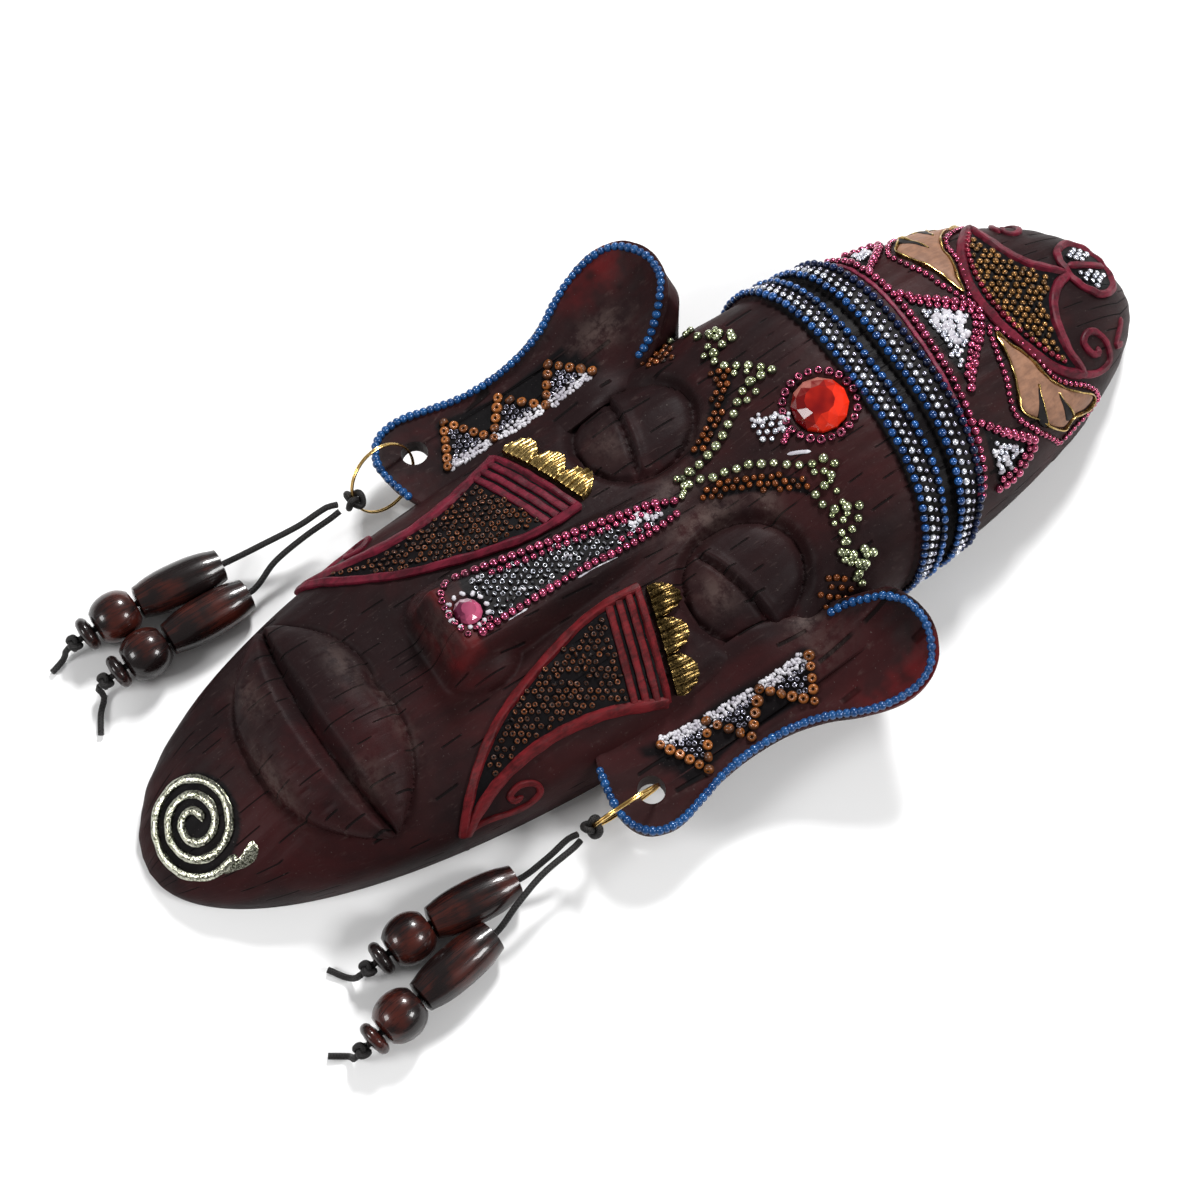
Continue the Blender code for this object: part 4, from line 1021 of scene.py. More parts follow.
def head_piece():
    rows, columns, inner_columns = 440, 196, 14
    share = np.linspace(0.0, 1.0, rows)
    ys = blend(CHIN_Y, CROWN_Y, 0.86 * share + 0.14 * ease(share))
    even = np.linspace(0.0, 1.0, 260)
    sheet = np.zeros((rows, columns + inner_columns + 1, 3))
    for i, y in enumerate(ys):
        dense = np.copysign(np.abs(even * 2.0 - 1.0) ** 1.5, even * 2.0 - 1.0)
        shape = skin(dense, y)
        run = np.concatenate([[0.0], np.cumsum(np.linalg.norm(np.diff(shape, axis=0), axis=1))])
        girth = np.interp(np.linspace(0.0, run[-1], columns), run, dense)
        if i in (0, rows - 1):
            girth = np.linspace(-1.0, 1.0, columns)
        level = bowed(girth, y)
        sheet[i, :columns] = carved(girth, level)
        sheet[i, 0] = skin(-1.0, level[0])
        sheet[i, columns - 1] = skin(1.0, level[-1])
        inner_y = blend(CHIN_Y + WALL, CROWN_Y - WALL, (y - CHIN_Y) / (CROWN_Y - CHIN_Y))
        back = np.linspace(1.0, -1.0, inner_columns)
        hollow = skin(back, inner_y)
        width, height = half_width(np.array(inner_y)), crest(np.array(inner_y))
        hollow[:, 0] *= max(width - WALL, 0.0) / width
        hollow[:, 2] *= max(height - WALL, 0.0) / height
        if i in (0, rows - 1):
            hollow[:] = (0.0, inner_y, 0.0)
        sheet[i, columns:-1] = hollow
    sheet[0, :columns] = (0.0, CHIN_Y, 0.0)
    sheet[-1, :columns] = (0.0, CROWN_Y, 0.0)
    sheet[:, -1] = sheet[:, 0]
    sheet[..., 2] = np.maximum(sheet[..., 2], 0.0)
    for y, radius, depth in SEATS:
        top = carved(0.0, y)
        slope = carved(0.0, y + 2.0) - carved(0.0, y - 2.0)
        up = np.cross((1.0, 0.0, 0.0), slope)
        up /= np.linalg.norm(up)
        away = sheet - top
        over = away @ up
        flat = np.linalg.norm(away - over[..., None] * up, axis=-1)
        near = (flat < radius) & (np.abs(over) < 5.0)
        sheet[near] -= ((over[near] + depth)[:, None]) * up
    piece = laid_sheet("mask_head", sheet, 60.0)
    blade = BLADE_INNER + BLADE_OUTER[::-1]
    spiral_disc = [(15.6 * math.cos(a), SPIRAL_Y + 13.2 * math.sin(a)) for a in np.linspace(0.0, 6.0, 24)]
    grounds = (blade, mirrored(blade), LEAF, CELLS, MIDDLE_PEAK, RIGHT_PEAK, LEFT_PEAK,
               NOSE_LEFT + NOSE_RIGHT[::-1], BROW_UNDER_LEFT, BROW_UNDER_RIGHT, spiral_disc)
    ink_over(piece, grounds, band_ground, HEAD_WEAR_AND_HIGHLIGHT)
    finish_piece(piece, RESIN)
    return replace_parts(piece, "mask_body")


# Ears

EAR_RIM = ( (46.0, -50.0), (54.0, -55.5), (61.0, -57.4), (70.4, -57.6), (77.0, -54.2), (80.0, -47.5),
           (79.8, -40.5), (76.6, -30.0), (75.0, -16.0), (76.0, -2.0), (79.6, 9.5), (84.6, 19.0),
           (88.6, 29.5), (88.8, 38.0), (85.0, 45.2), (76.5, 49.4), (67.0, 49.0), (59.0, 45.0), (52.5, 37.5),
           (46.0, 24.0), (43.0, 2.0), (43.5, -28.0), )
EAR_HOLE = (66.7, -45.1, 4.3)
EAR_EDGE, EAR_LEAN, EAR_BACK_DROP, EAR_BACK_SWELL = 2.6, 0.146, 9.0, 1.5
EAR_ROOT_X, EAR_ROOT_Z = 47.0, 11.0
EAR_SPINE_X, EAR_SPINE_LOW, EAR_SPINE_HIGH = 68.0, -42.0, 32.0
# the ears' lighter spots, partly rubbed wear and partly painted highlight
EAR_WEAR_AND_HIGHLIGHT = {-1: (((-66.0, 24.0), (6.0, 9.0), 0.8),),
            1: (((50.0, 22.0), (5.0, 5.0), 0.9), ((60.0, 20.0), (6.0, 10.0), 0.5))}
# the front's rows, from the middle to the rim, as shares of the way in
EAR_ROWS = (0.985, 0.93, 0.86, 0.78, 0.7, 0.62, 0.54, 0.46, 0.38, 0.31, 0.25, 0.19, 0.14, 0.1, 0.06, 0.03, 0.0)
# the points of each ear's front, on which its beads are laid
EAR_FRONTS = {}


def ear_z(x, y):
    run = y + 45.0
    z = 19.5 + 0.017 * run + 0.00247 * run * run - EAR_LEAN * (x - EAR_HOLE[0])
    return z - 0.95 * np.maximum(60.0 - x, 0.0) * ease((y - 5.0) / 25.0)


def ear_face(x, y, share):
    # the ear's front, dished between its rim and its middle
    deepen = ease((y + 40.0) / 60.0)
    drop = np.interp(share, (0.0, 0.05, 0.16, 0.38, 0.6, 1.0), (0.5, 0.0, 0.6, 3.0, 4.5, 4.3))
    plain = np.interp(share, (0.0, 0.05, 0.16, 0.6, 1.0), (0.5, 0.0, 0.6, 1.0, 1.0))
    return ear_z(x, y) - blend(plain, drop, deepen)


def ear_piece(side, name):
    loop = spline(EAR_RIM, closed=True, count=8)
    x, y = loop.T
    spine_y = np.clip(y, EAR_SPINE_LOW, EAR_SPINE_HIGH)
    lobe = ease((y + 30.0) / 50.0)
    swell = EAR_BACK_SWELL * ease((y - 25.0) / 20.0)
    edge_z = ear_z(x, y) - EAR_EDGE
    back_x = blend(blend(x, EAR_ROOT_X, 0.12), blend(x, EAR_ROOT_X, 0.3), lobe)
    back_z = ear_z(x, y) - blend(EAR_EDGE * 1.3, EAR_BACK_DROP, lobe)
    back = np.stack([back_x, y * blend(0.97, 1.0, lobe) + swell, back_z], -1)
    root_x = blend(x, EAR_ROOT_X, blend(0.25, 0.72, lobe))
    root = np.stack([root_x, y * 0.9 + swell, np.full_like(x, EAR_ROOT_Z)], -1)
    rows = []
    for share in EAR_ROWS:
        px, py = blend(x, EAR_SPINE_X, share), blend(y, spine_y, share)
        marks = 0.12 * np.sin(px * 1.1 + 0.7 * np.sin(py * 0.07)) * np.sin(py * 0.09 + 1.0)
        rows.append(np.stack([px, py, ear_face(px, py, share) + marks], -1))
    EAR_FRONTS[side] = np.vstack(rows)
    for sink, reach in ((0.8, 0.35), (1.7, 0.35), (2.6, 0.0)):
        bulge = loop + (loop - np.stack([np.full_like(x, EAR_SPINE_X), spine_y], -1)) * 0.004 * reach
        rows.append(np.stack([bulge[:, 0], bulge[:, 1], ear_z(x, y) - sink], -1))
    rim = np.stack([x, y, edge_z], -1)
    for first, second in ((rim, back), (back, root)):
        for share in (0.35, 0.7, 1.0):
            rows.append(blend(first, second, share))
    for share in (0.35, 0.7, 0.97):
        rows.append(np.stack([blend(root[:, 0], 56.0, share), blend(root[:, 1], 0.0, share), root[:, 2]], -1))
    sheet = np.stack(rows)
    sheet[:, -1] = sheet[:, 0]
    sheet[..., 0] *= side
    piece = laid_sheet(name, sheet, 50.0)
    bpy.ops.object.select_all(action="DESELECT")
    place = (side * EAR_HOLE[0] * MM, EAR_HOLE[1] * MM, 0.02)
    bpy.ops.mesh.primitive_cylinder_add(vertices=40, radius=EAR_HOLE[2] * MM, depth=0.04, location=place)
    drill = bpy.context.active_object
    step = piece.modifiers.new("hole", "BOOLEAN")
    step.operation, step.solver, step.object = "DIFFERENCE", "EXACT", drill
    bpy.context.view_layer.objects.active = piece
    bpy.ops.object.modifier_apply(modifier="hole")
    bpy.data.objects.remove(drill, do_unlink=True)
    bpy.ops.object.select_all(action="DESELECT")
    piece.select_set(True)
    bpy.ops.object.shade_smooth_by_angle(angle=math.radians(50.0))
    ground = ((55.0, -42.0), (72.0, -34.0), (68.0, -14.0), (70.0, 12.0), (57.0, 18.0))
    ink_over(piece, (ground if side > 0 else mirrored(ground),), None, EAR_WEAR_AND_HIGHLIGHT[side])
    finish_piece(piece, RESIN)
    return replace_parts(piece, "mask_body")


def stage_set():
    bpy.ops.object.select_all(action="DESELECT")
    bpy.ops.mesh.primitive_plane_add(size=6.0, location=(0.0, 0.0, -0.0002))
    floor = bpy.context.active_object
    floor.name = "floor"
    r = Recipe("pale_floor", Roughness=0.9, Specular_IOR_Level=0.1)
    floor.data.materials.append(r.done(colour(0.9, 0.9, 0.9)))
    world = bpy.data.worlds.new("studio")
    bpy.context.scene.world = world
    world.use_nodes = True
    world.node_tree.nodes["Background"].inputs[0].default_value = colour(1.0, 1.0, 1.0)
    world.node_tree.nodes["Background"].inputs[1].default_value = 0.26
    for name, place, size, power in (
            ("key", (-0.75, 0.8, 1.15), 0.3, 27.0),
            ("side", (0.95, 0.75, 1.0), 0.4, 14.5),
            ("low", (-0.25, -1.05, 0.8), 0.4, 8.5)):
        data = bpy.data.lights.new(name, "AREA")
        data.size, data.energy = size, power
        lamp = bpy.data.objects.new(name, data)
        lamp.location = place
        lamp.rotation_euler = (Vector((0.0, 0.0, 0.02)) - Vector(place)).to_track_quat("-Z", "Y").to_euler()
        bpy.context.scene.collection.objects.link(lamp)
    bpy.context.scene.view_settings.view_transform = "Standard"


def ring_wires():
    for side, (centre, axis) in RING_PLACES.items():
        for label, shift in (("", 0.33), ("_twin", -0.33)):
            turned = frame_at(Vector(centre) * MM + Vector(axis).normalized() * shift * MM, axis)
            angles = np.linspace(0.0, 2.0 * math.pi, 96, endpoint=False)
            round_points = [Vector((RING_RADIUS * math.cos(a), RING_RADIUS * math.sin(a), 0.0)) for a in angles]
            path = [turned @ point for point in round_points]
            wire = tube("ring_wire_" + side + label, path, 0.00034, closed=True, sides=10)
            finish_piece(wire, WIRE)
            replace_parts(wire, "ring_" + side)


def painted(name, points, width, height, material, closed=False, **more):
    piece = ridge(name, route_through(points, closed), width, height, closed, **more)
    return finish_piece(piece, material)


def lay(points, kind, radius, step, closed=False, **more):
    return row_of(route_through(points, closed), kind, radius, step, closed, **more)


def clump(points, radius, number, spread, lift=0.3):
    # thick paint dabbed over a few spots
    spots = np.repeat(np.asarray(points, float), number, axis=0)
    spots = spots + rng.normal(0.0, spread, spots.shape)
    girth = girth_at(spots[:, 0], spots[:, 1])
    out = facing(carved, girth, spots[:, 1])
    return "lump", carved(girth, spots[:, 1]) + out * (radius * lift), out, radius, 0.6


def lay_blades():
    for side, paint, word in ((-1, CRIMSON, "left"), (1, SCARLET, "right")):
        flip = mirrored if side < 0 else list
        painted("blade_inner_" + word, flip(BLADE_INNER), 3.0, 1.1, paint, blunt=True)
        painted("blade_outer_" + word, flip(BLADE_OUTER), 3.9, 1.1, paint, blunt=True)
        for i, bar in enumerate(BLADE_BARS):
            painted("blade_bar_%s_%d" % (word, i), flip(bar), 2.5, 1.0, paint, blunt=True)
        curl = [(girth * side, y) for girth, y in BLADE_CURL]
        finish_piece(ridge("blade_curl_" + word, spline(curl), 2.3, 1.0), paint)
        beads = [field_of(flip(BLADE_FIELD), "seed", 0.95, 2.35, 0.4, keep=0.95, lean=0.4)]
        strew("blade_beads_" + word, beads, AMBER_BEAD)


COMB_INNER, COMB_OUTER, COMB_DEPTH = (17.0, -14.2), (47.6, -24.0), 8.5


def lay_comb(side, name):
    # three scalloped lobes of ribbed gold leaf over a blade
    share = np.linspace(0.0, 1.0, 289)
    lobe = COMB_DEPTH * (0.3 + 0.7 * np.abs(np.sin(3.0 * math.pi * share)) ** 0.6)
    rows = []
    across = np.concatenate([[0.0], np.linspace(0.0, 1.0, 13), [1.0]])
    for i, v in enumerate(across):
        x = blend(COMB_INNER[0], COMB_OUTER[0], share) + 0.25 * lobe * v
        y = blend(COMB_INNER[1], COMB_OUTER[1], share) + 0.95 * lobe * v
        girth = girth_at(x * side, y)
        rib = 0.75 * np.abs(np.sin(share * 3.0 * math.pi * 5.0 + v * 1.6)) ** 0.8
        between = groove((share * 3.0) % 1.0, 0.05)
        dome = 1.2 + 0.7 * math.sin(math.pi * min(max(v, 0.12), 0.9)) - 0.9 * between
        level = dome + rib
        level[0] = level[-1] = -0.6
        if i in (0, len(across) - 1):
            level = np.full_like(share, -0.6)
        rows.append(carved(girth, y) + facing(carved, girth, y) * level[:, None])
    # the right comb takes the darker copy of the gold leaf, as painted shade
    finish_piece(laid_sheet(name, np.stack(rows)), GOLD if side < 0 else SHADED_GOLD)


def lay_spiral():
    share = np.linspace(0.0, 1.0, 160)
    angle = math.radians(20.0) - 2.0 * math.pi * SPIRAL_TURNS * (1.0 - share)
    reach = blend(2.3, SPIRAL_RADIUS, share)
    points = np.stack([reach * np.cos(angle), SPIRAL_Y + SPIRAL_SLOPE * reach * np.sin(angle)], -1)
    route = np.stack([girth_at(points[:, 0], points[:, 1]), points[:, 1]], -1)
    finish_piece(ridge("chin_spiral", route, 2.9, 1.2, wobble=0.12, flat=0.55), SILVER)
    smear = ((15.3, -152.6), (18.4, -152.2), (20.8, -154.9), (20.7, -158.7), (19.2, -162.2), (17.9, -165.4),
             (15.8, -165.4), (16.4, -161.6), (16.8, -158.2), (15.9, -155.4))
    finish_piece(patch("spiral_smear", smear, 0.5, 5), SILVER)


BAND_ROWS = ((74.3, "blue"), (76.6, "silver"), (78.7, "dull"), (81.1, "blue"),
             (88.3, "blue"), (90.8, "silver"), (93.2, "dull"), (95.9, "night"))


def lay_bands():
    rows = {"blue": [], "silver": [], "night": [], "dull": []}
    for i, (y, tone) in enumerate(BAND_ROWS):
        radius, pitch = {"silver": (1.08, 3.1), "dull": (0.8, 3.1)}.get(tone, (1.32, 3.1))
        row = row_of(route_around(y), "pearl", radius, pitch, lift=0.4, shift=0.5 * (i % 2))
        rows[tone].append(row)
    strew("band_dull", rows["dull"], STEEL_BEAD)
    strew("band_blue", rows["blue"], BLUE_BEAD)
    strew("band_night", rows["night"], NIGHT_BEAD)
    strew("band_silver", rows["silver"], SILVER_BEAD)


def lay_crown_peaks():
    painted("crown_line", PINK_LINE, 1.6, 0.55, PINK_PAINT)
    pink = [lay([(x, y + 2.4) for x, y in PINK_LINE], "pearl", 1.4, 2.9)]
    for peak in (MIDDLE_PEAK, RIGHT_PEAK, LEFT_PEAK):
        pink.append(lay(peak, "pearl", 1.5, 2.9))
        middle = np.mean(peak, axis=0)
        inner = [tuple(middle + (np.array(point) - middle) * 0.78) for point in peak]
        pink.append(lay(inner, "pearl", 1.2, 2.7))
    strew("crown_pink", pink, PINK_BEAD)
    inside = [((-12.4, 105.0), (-8.0, 111.0), (-1.4, 118.4), (5.6, 112.8), (13.6, 105.0)),
              ((35.6, 100.0), (38.8, 105.4), (41.2, 109.8), (43.6, 105.0), (44.4, 98.0)),
              ((-35.0, 103.6), (-38.4, 108.0), (-41.0, 110.8), (-42.2, 107.6), (-42.4, 103.6))]
    strew("crown_silver", [field_of(spot, "pearl", 0.95, 2.05, 0.1) for spot in inside], SILVER_BEAD)
    heap = ((-5.0, 108.6), (-5.0, 112.2), (-1.2, 115.6), (2.8, 112.8), (3.0, 109.0), (-1.0, 110.4))
    dabs = [clump(heap, 1.15, 10, 1.2),
            clump(((40.8, 106.4), (42.4, 103.0), (40.2, 101.8), (43.0, 99.6)), 0.9, 8, 0.8),
            clump(((-40.4, 108.4), (-40.0, 105.4)), 0.9, 8, 0.8)]
    strew("crown_white", dabs, WHITE)


LEAF_CURL = ((28.6, 137.4), (30.6, 142.0), (31.0, 148.2), (28.9, 154.2), (24.6, 156.4), (20.6, 154.6),
             (20.0, 150.8), (22.7, 147.6), (25.9, 148.4), (26.5, 151.0), (24.6, 152.4))
LEFT_CURL = ((-24.6, 150.2), (-28.4, 150.4), (-30.8, 153.2), (-29.8, 156.8), (-26.4, 158.8), (-23.0, 157.2),
             (-22.2, 153.6), (-24.6, 151.8), (-27.2, 153.4))
FAR_CURL = ((17.6, 168.6), (20.4, 166.0), (23.4, 162.4), (25.4, 160.6), (24.4, 164.6))


def lay_crown_leaf():
    painted("leaf_frame", LEAF, 3.3, 1.2, CRIMSON, True)
    painted("leaf_curl", LEAF_CURL, 2.6, 1.1, CRIMSON)
    painted("left_curl", LEFT_CURL, 2.2, 1.0, CRIMSON)
    painted("far_curl", FAR_CURL, 2.2, 0.9, CRIMSON)
    painted("cell_frame", CELLS, 2.7, 1.2, CRIMSON, True)
    painted("cell_bar", ((-3.4, 160.6), (-2.4, 166.0), (-1.6, 171.0), (-0.8, 175.4)), 2.4, 1.2, CRIMSON)
    left_cell = ((-4.8, 162.0), (-8.8, 164.2), (-10.0, 168.6), (-8.0, 172.6), (-4.2, 174.6), (-3.4, 168.0))
    right_cell = ((-0.6, 161.4), (4.2, 162.0), (7.4, 165.4), (6.4, 171.0), (1.6, 174.2), (0.4, 168.0))
    cells = [field_of(cell, "pearl", 1.0, 2.35, 0.3) for cell in (left_cell, right_cell)]
    strew("cell_beads", cells, SILVER_BEAD)
    strew("leaf_beads", [field_of(LEAF, "pearl", 1.12, 2.6, 2.9)], HONEY_BEAD)
    edge = ((-27.6, 139.4), (-22.6, 134.4), (-15.4, 130.8), (-6.8, 128.4), (2.4, 128.0), (12.0, 129.8),
            (20.2, 132.8), (25.2, 136.6))
    strew("leaf_edge_beads", [lay(edge, "pearl", 1.05, 2.5)], RUBY_BEAD)


TAN_NOTCHES = (((37.0, 117.8), (27.6, 123.8), (39.2, 120.6)), ((39.2, 128.0), (32.0, 128.8), (38.4, 131.6)))


def lay_tan_leaves():
    pink = []
    around = ((5.6, 121.8), (9.6, 119.9), (15.4, 117.8), (22.2, 115.8), (28.2, 113.2), (33.4, 112.0),
              (38.4, 116.0), (41.4, 121.4), (42.6, 127.4), (40.8, 133.0), (39.6, 139.4), (36.2, 146.4),
              (33.0, 140.4), (31.2, 134.4), (27.6, 130.2), (19.4, 128.6), (12.2, 126.2))
    for side, word in ((-1, "left"), (1, "right")):
        flip = mirrored if side < 0 else list
        centre = (32.0 * side, 124.8)
        finish_piece(patch("tan_leaf_" + word, flip(TAN_LEAF), 0.9, 12, centre=centre), TAN)
        painted("tan_leaf_wire_" + word, flip(TAN_LEAF), 0.7, 1.15, GOLD, True, sunk=0.3, wobble=0.35)
        for i, (near, tip, far) in enumerate(TAN_NOTCHES):
            wedge = (near, blend(np.array(near), tip, 0.55), tip, blend(np.array(far), tip, 0.55), far)
            finish_piece(patch("tan_notch_%s_%d" % (word, i), flip(wedge), 1.1, 6), INK)
            painted("tan_notch_wire_%s_%d" % (word, i), flip((tip, far)), 0.7, 1.3, GOLD, wobble=0.3)
        pink.append(lay(flip(around), "pearl", 1.05, 2.35, True))
    strew("tan_leaf_pink", pink, PINK_BEAD)


def lay_brow():
    left = ((-6.5, 17.5), (-6.5, 21.8), (-7.5, 25.8), (-8.5, 29.4), (-10.1, 32.6), (-12.1, 36.1),
            (-13.7, 39.1), (-16.2, 42.0), (-17.9, 45.1), (-19.1, 48.9), (-18.5, 52.7), (-18.2, 56.1),
            (-21.6, 53.4), (-25.5, 49.5), (-28.1, 46.2), (-31.4, 44.6), (-34.3, 45.0), (-35.3, 48.3),
            (-36.1, 51.8), (-35.8, 55.2), (-39.4, 52.8), (-42.2, 50.1), (-44.4, 46.9))
    right = ((-3.1, 15.2), (-2.6, 18.3), (-0.6, 21.5), (0.2, 25.6), (1.6, 29.3), (2.8, 33.0), (5.0, 36.2),
             (7.2, 39.4), (10.0, 42.5), (12.6, 45.5), (14.4, 48.7), (15.0, 52.3), (18.3, 53.8),
             (20.7, 50.6), (22.0, 47.2), (22.8, 43.7), (27.4, 44.4), (29.8, 46.9), (31.1, 50.3),
             (32.5, 53.0), (35.3, 50.8), (36.9, 47.5), (38.5, 44.2), (40.3, 41.4), (42.5, 44.1),
             (43.0, 48.0), (44.6, 50.4), (46.2, 46.5), (47.3, 43.3))
    inner_left = ((-14.6, 44.4), (-15.4, 48.2), (-22.2, 49.8), (-24.6, 46.6))
    inner_right = ((16.8, 47.4), (18.4, 50.0), (33.6, 48.4), (29.9, 44.0), (36.0, 44.4))
    knots = (((-52.0, 42.0), (-50.4, 46.0), (-42.5, 49.5), (-38.9, 53.4), (-36.8, 44.3)), ((38.5, 42.2),
             (42.2, 42.4), (43.8, 46.8), (45.1, 44.8), (42.8, 44.5), (47.3, 42.8), (44.0, 40.6)),
             ((-5.0, 14.8), (-4.4, 17.2), (-2.0, 13.4)))
    pearls = [lay(left, "pearl", 1.55, 3.85), lay(right, "pearl", 1.55, 3.85),
              lay(inner_left, "pearl", 1.15, 3.6), lay(inner_right, "pearl", 1.15, 3.8)]
    pearls += [clumped(spots, 1.25, 2, 1.3) for spots in knots]
    strew("brow_pearls", pearls, GREEN_BEAD)
    outer = ((42.6, 35.6), (46.0, 41.0), (50.2, 40.4), (51.2, 28.0), (47.0, 27.6), (45.0, 33.0))
    beads = [field_of(spot, "pearl", 1.05, 2.6, 0.0) for spot in
             (BROW_UNDER_LEFT, BROW_UNDER_RIGHT, outer, mirrored(outer))]
    strew("brow_amber", beads, AMBER_BEAD)


def clumped(spots, radius, number, spread):
    return ("pearl",) + clump(spots, radius, number, spread, lift=0.5)[1:]


GEM_RING, NOSE_GEM_RING = 11.4, 5.7


def lay_forehead():
    turn = np.linspace(0.0, 2.0 * math.pi, 22, endpoint=False)
    x, y = GEM_RING * np.cos(turn), FOREHEAD_GEM_Y + GEM_RING * np.sin(turn)
    girth = girth_at(x, y)
    out = facing(carved, girth, y)
    ring = ("seed", carved(girth, y) + out * 0.5, out, 1.55, 0.25)
    strew("gem_ring", [ring, lay(((3.4, 45.6), (1.4, 48.6)), "pearl", 1.2, 2.6)], PINK_BEAD)
    spot = ((-9.8, 39.6), (-5.4, 50.0), (0.8, 49.4), (0.8, 41.0), (-5.0, 39.0))
    strew("forehead_silver", [field_of(spot, "pearl", 1.0, 2.5, 0.3)], SILVER_BEAD)
    dabs = [clump(((-4.6, 48.4), (-2.4, 49.6), (0.4, 48.6), (-7.4, 43.6)), 0.75, 7, 0.9)]
    strew("forehead_white", dabs, WHITE)
    painted("forehead_dash", ((7.2, 44.1), (8.8, 47.2), (10.7, 50.3)), 1.3, 0.3, WHITE)


def lay_nose():
    tip = ((-11.4, -66.4), (-8.4, -70.2), (-2.6, -71.8), (2.4, -71.4), (6.6, -70.2))
    second = [(x + 2.6, y + 1.2) for x, y in NOSE_LEFT[1:7]]
    pink = [lay(NOSE_LEFT, "pearl", 1.5, 3.0), lay(NOSE_RIGHT, "pearl", 1.4, 2.9),
            lay(tip, "seed", 1.25, 2.7),
            lay(second, "pearl", 1.15, 2.9), lay(((2.0, -13.0), (2.2, -4.0)), "pearl", 1.15, 2.8),
            lay(((5.4, -62.0), (6.0, -67.0)), "seed", 1.2, 2.6)]
    strew("nose_pink", pink, PINK_BEAD)
    inside = NOSE_LEFT + NOSE_RIGHT[::-1]
    kind, places, outs, radius, lean = field_of(inside, "seed", 0.88, 2.3, 1.8, lean=0.6)
    clear = np.hypot(places[:, 0], places[:, 1] - NOSE_GEM_Y) > 6.4
    strew("nose_silver", [(kind, places[clear], outs[clear], radius, lean)], SILVER_BEAD)
    turn = np.linspace(0.0, 2.0 * math.pi, 13, endpoint=False)
    x, y = NOSE_GEM_RING * np.cos(turn), NOSE_GEM_Y + NOSE_GEM_RING * np.sin(turn)
    around = clump(np.stack([x, y], -1), 0.75, 2, 0.3)
    dabs = [around, clump(((-2.4, -5.0), (-1.0, -2.4), (0.4, 0.4), (-0.6, -7.6)), 0.8, 7, 0.8),
            clump(((-1.0, -30.0), (-8.0, -58.0), (2.0, -48.0)), 0.55, 4, 0.7)]
    strew("nose_white", dabs, WHITE)
    for i, (first, last) in enumerate(((1, 3), (4, 7))):
        smear = [(x + 1.5, y) for x, y in NOSE_RIGHT[first:last]]
        painted("nose_edge_%d" % i, smear, 0.45, 0.15, WHITE, wobble=0.6)


EAR_ROW = ((54.0, -55.2), (60.5, -56.6), (65.5, -57.2), (70.4, -56.8), (75.2, -54.3), (78.3, -50.4),
           (79.4, -45.0), (79.0, -40.5), (77.0, -33.0), (74.5, -23.0), (73.8, -12.0), (74.9, -1.0),
           (77.6, 8.5), (82.1, 16.8), (85.1, 22.9), (87.0, 29.6), (87.4, 36.0), (85.6, 41.4), (81.3, 45.2),
           (74.0, 47.8), (66.2, 47.0), (61.2, 43.6), (57.0, 39.2), (53.6, 34.0), (52.4, 30.0))
ZIGZAG_LEFT = ((55.8, -39.4), (70.4, -31.8), (56.0, -22.2), (67.5, -13.3), (55.8, -2.8), (67.6, 5.7),
               (56.6, 15.2))
ZIGZAG_RIGHT = ((56.9, -35.4), (70.9, -27.2), (58.3, -19.7), (69.8, -10.9), (59.2, -0.9), (71.7, 10.6),
                (59.6, 16.9))


def ear_spots(side, spots, radius, lift):
    # places on the ear's front under spots that are seen from above
    front = EAR_FRONTS[side]
    away = np.hypot(spots[:, None, 0] - front[None, :, 0], spots[:, None, 1] - front[None, :, 1])
    near = np.argsort(away, axis=1)[:, :6]
    weight = 1.0 / (np.take_along_axis(away, near, axis=1) + 0.05)
    z = (front[near, 2] * weight).sum(1) / weight.sum(1)
    slope = ear_z(spots[:, 0], spots[:, 1] + 0.5) - ear_z(spots[:, 0], spots[:, 1] - 0.5)
    out = np.stack([np.full_like(slope, EAR_LEAN), -slope, np.ones_like(slope)], -1)
    out /= np.linalg.norm(out, axis=1, keepdims=True)
    places = np.column_stack([spots, z]) + out * radius * lift
    mirror = np.array([side, 1.0, 1.0])
    return places * mirror, out * mirror


def along(points, step):
    line = np.asarray(points, float)
    if len(line) > 2:
        line = spline(line)
    run = np.concatenate([[0.0], np.cumsum(np.linalg.norm(np.diff(line, axis=0), axis=1))])
    marks = np.linspace(0.0, run[-1], max(2, int(round(run[-1] / step)) + 1))
    return np.stack([np.interp(marks, run, line[:, 0]), np.interp(marks, run, line[:, 1])], -1)


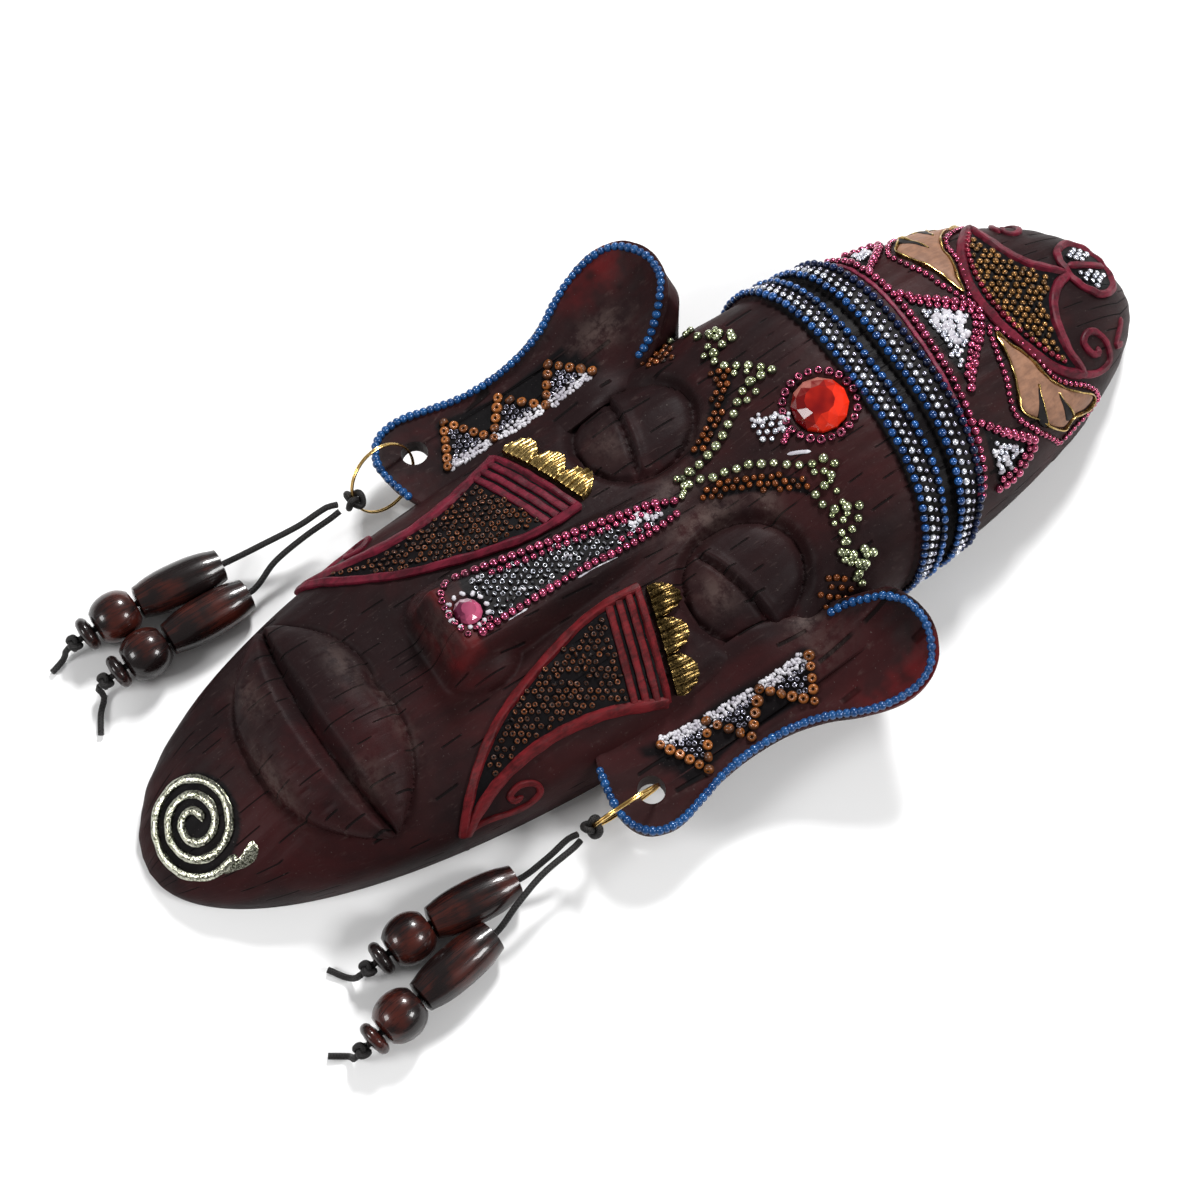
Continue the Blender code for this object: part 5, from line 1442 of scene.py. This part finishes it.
def lay_ear(side, word, zigzag):
    spots = along(EAR_ROW, 2.25 if side < 0 else 2.1)
    places, outs = ear_spots(side, spots, 1.4, 0.1)
    strew("ear_rim_" + word, [("pearl", places, outs, 1.4, 0.12)], BLUE_RIM)
    if side > 0:
        places, outs = ear_spots(side, along(EAR_ROW[6:-3], 0.9), 0.9, 0.25)
        strew("ear_rim_paint", [("lump", places, outs, 1.1, 0.1)], BLUE_RIM)
    corners = [along(pair, 3.5)[:-1] for pair in zip(zigzag, zigzag[1:])]
    spots = np.vstack(corners + [np.array([zigzag[-1]])])
    places, outs = ear_spots(side, spots, 1.6, 0.35)
    strew("ear_zigzag_" + word, [("holed", places, outs, 1.66, 0.5)], WOOD_BEAD, squash=1.5)
    silver, dabs = [], []
    for first, peak, last in zip(zigzag[0::2], zigzag[1::2], zigzag[2::2]):
        places, outs = ear_spots(side, spots_in((first, peak, last), 2.1, 1.5), 0.95, 0.35)
        silver.append(("seed", places, outs, 0.95, 0.3))
        for shift, dabbed in ((-1.2, 30), (0.2, 22), (1.4, 10)):
            line = np.linspace(np.array(first) + (shift, 1.0), np.array(last) + (shift, -2.0), dabbed)
            places, outs = ear_spots(side, line + rng.normal(0.0, 0.4, line.shape), 0.6, 0.2)
            dabs.append(("lump", places, outs, 0.8, 0.5))
    strew("ear_silver_" + word, silver, STEEL_BEAD)
    strew("ear_white_" + word, dabs, WHITE, squash=0.4)


stage_set()
head_piece()
ear_piece(-1, "ear_left")
ear_piece(1, "ear_right")
ring_wires()
lay_blades()
lay_comb(-1, "comb_left")
lay_comb(1, "comb_right")
lay_spiral()
lay_bands()
lay_crown_peaks()
lay_crown_leaf()
lay_tan_leaves()
lay_brow()
lay_forehead()
lay_nose()
lay_ear(-1, "left", ZIGZAG_LEFT)
lay_ear(1, "right", ZIGZAG_RIGHT)

RED_GEM = cut_gem("red_gem_cut", (0.68, 0.026, 0.008), (0.12, 0.0015, 0.002), (0.5, 0.2, 0.16))
PINK_GEM = cut_gem("pink_gem_cut", (0.42, 0.075, 0.15), (0.08, 0.010, 0.03), (0.60, 0.45, 0.50))
for node, material in (("forehead_gem", RED_GEM), ("nose_gem", PINK_GEM)):
    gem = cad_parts[node]
    gem.data.materials.clear()
    gem.data.materials.append(material)
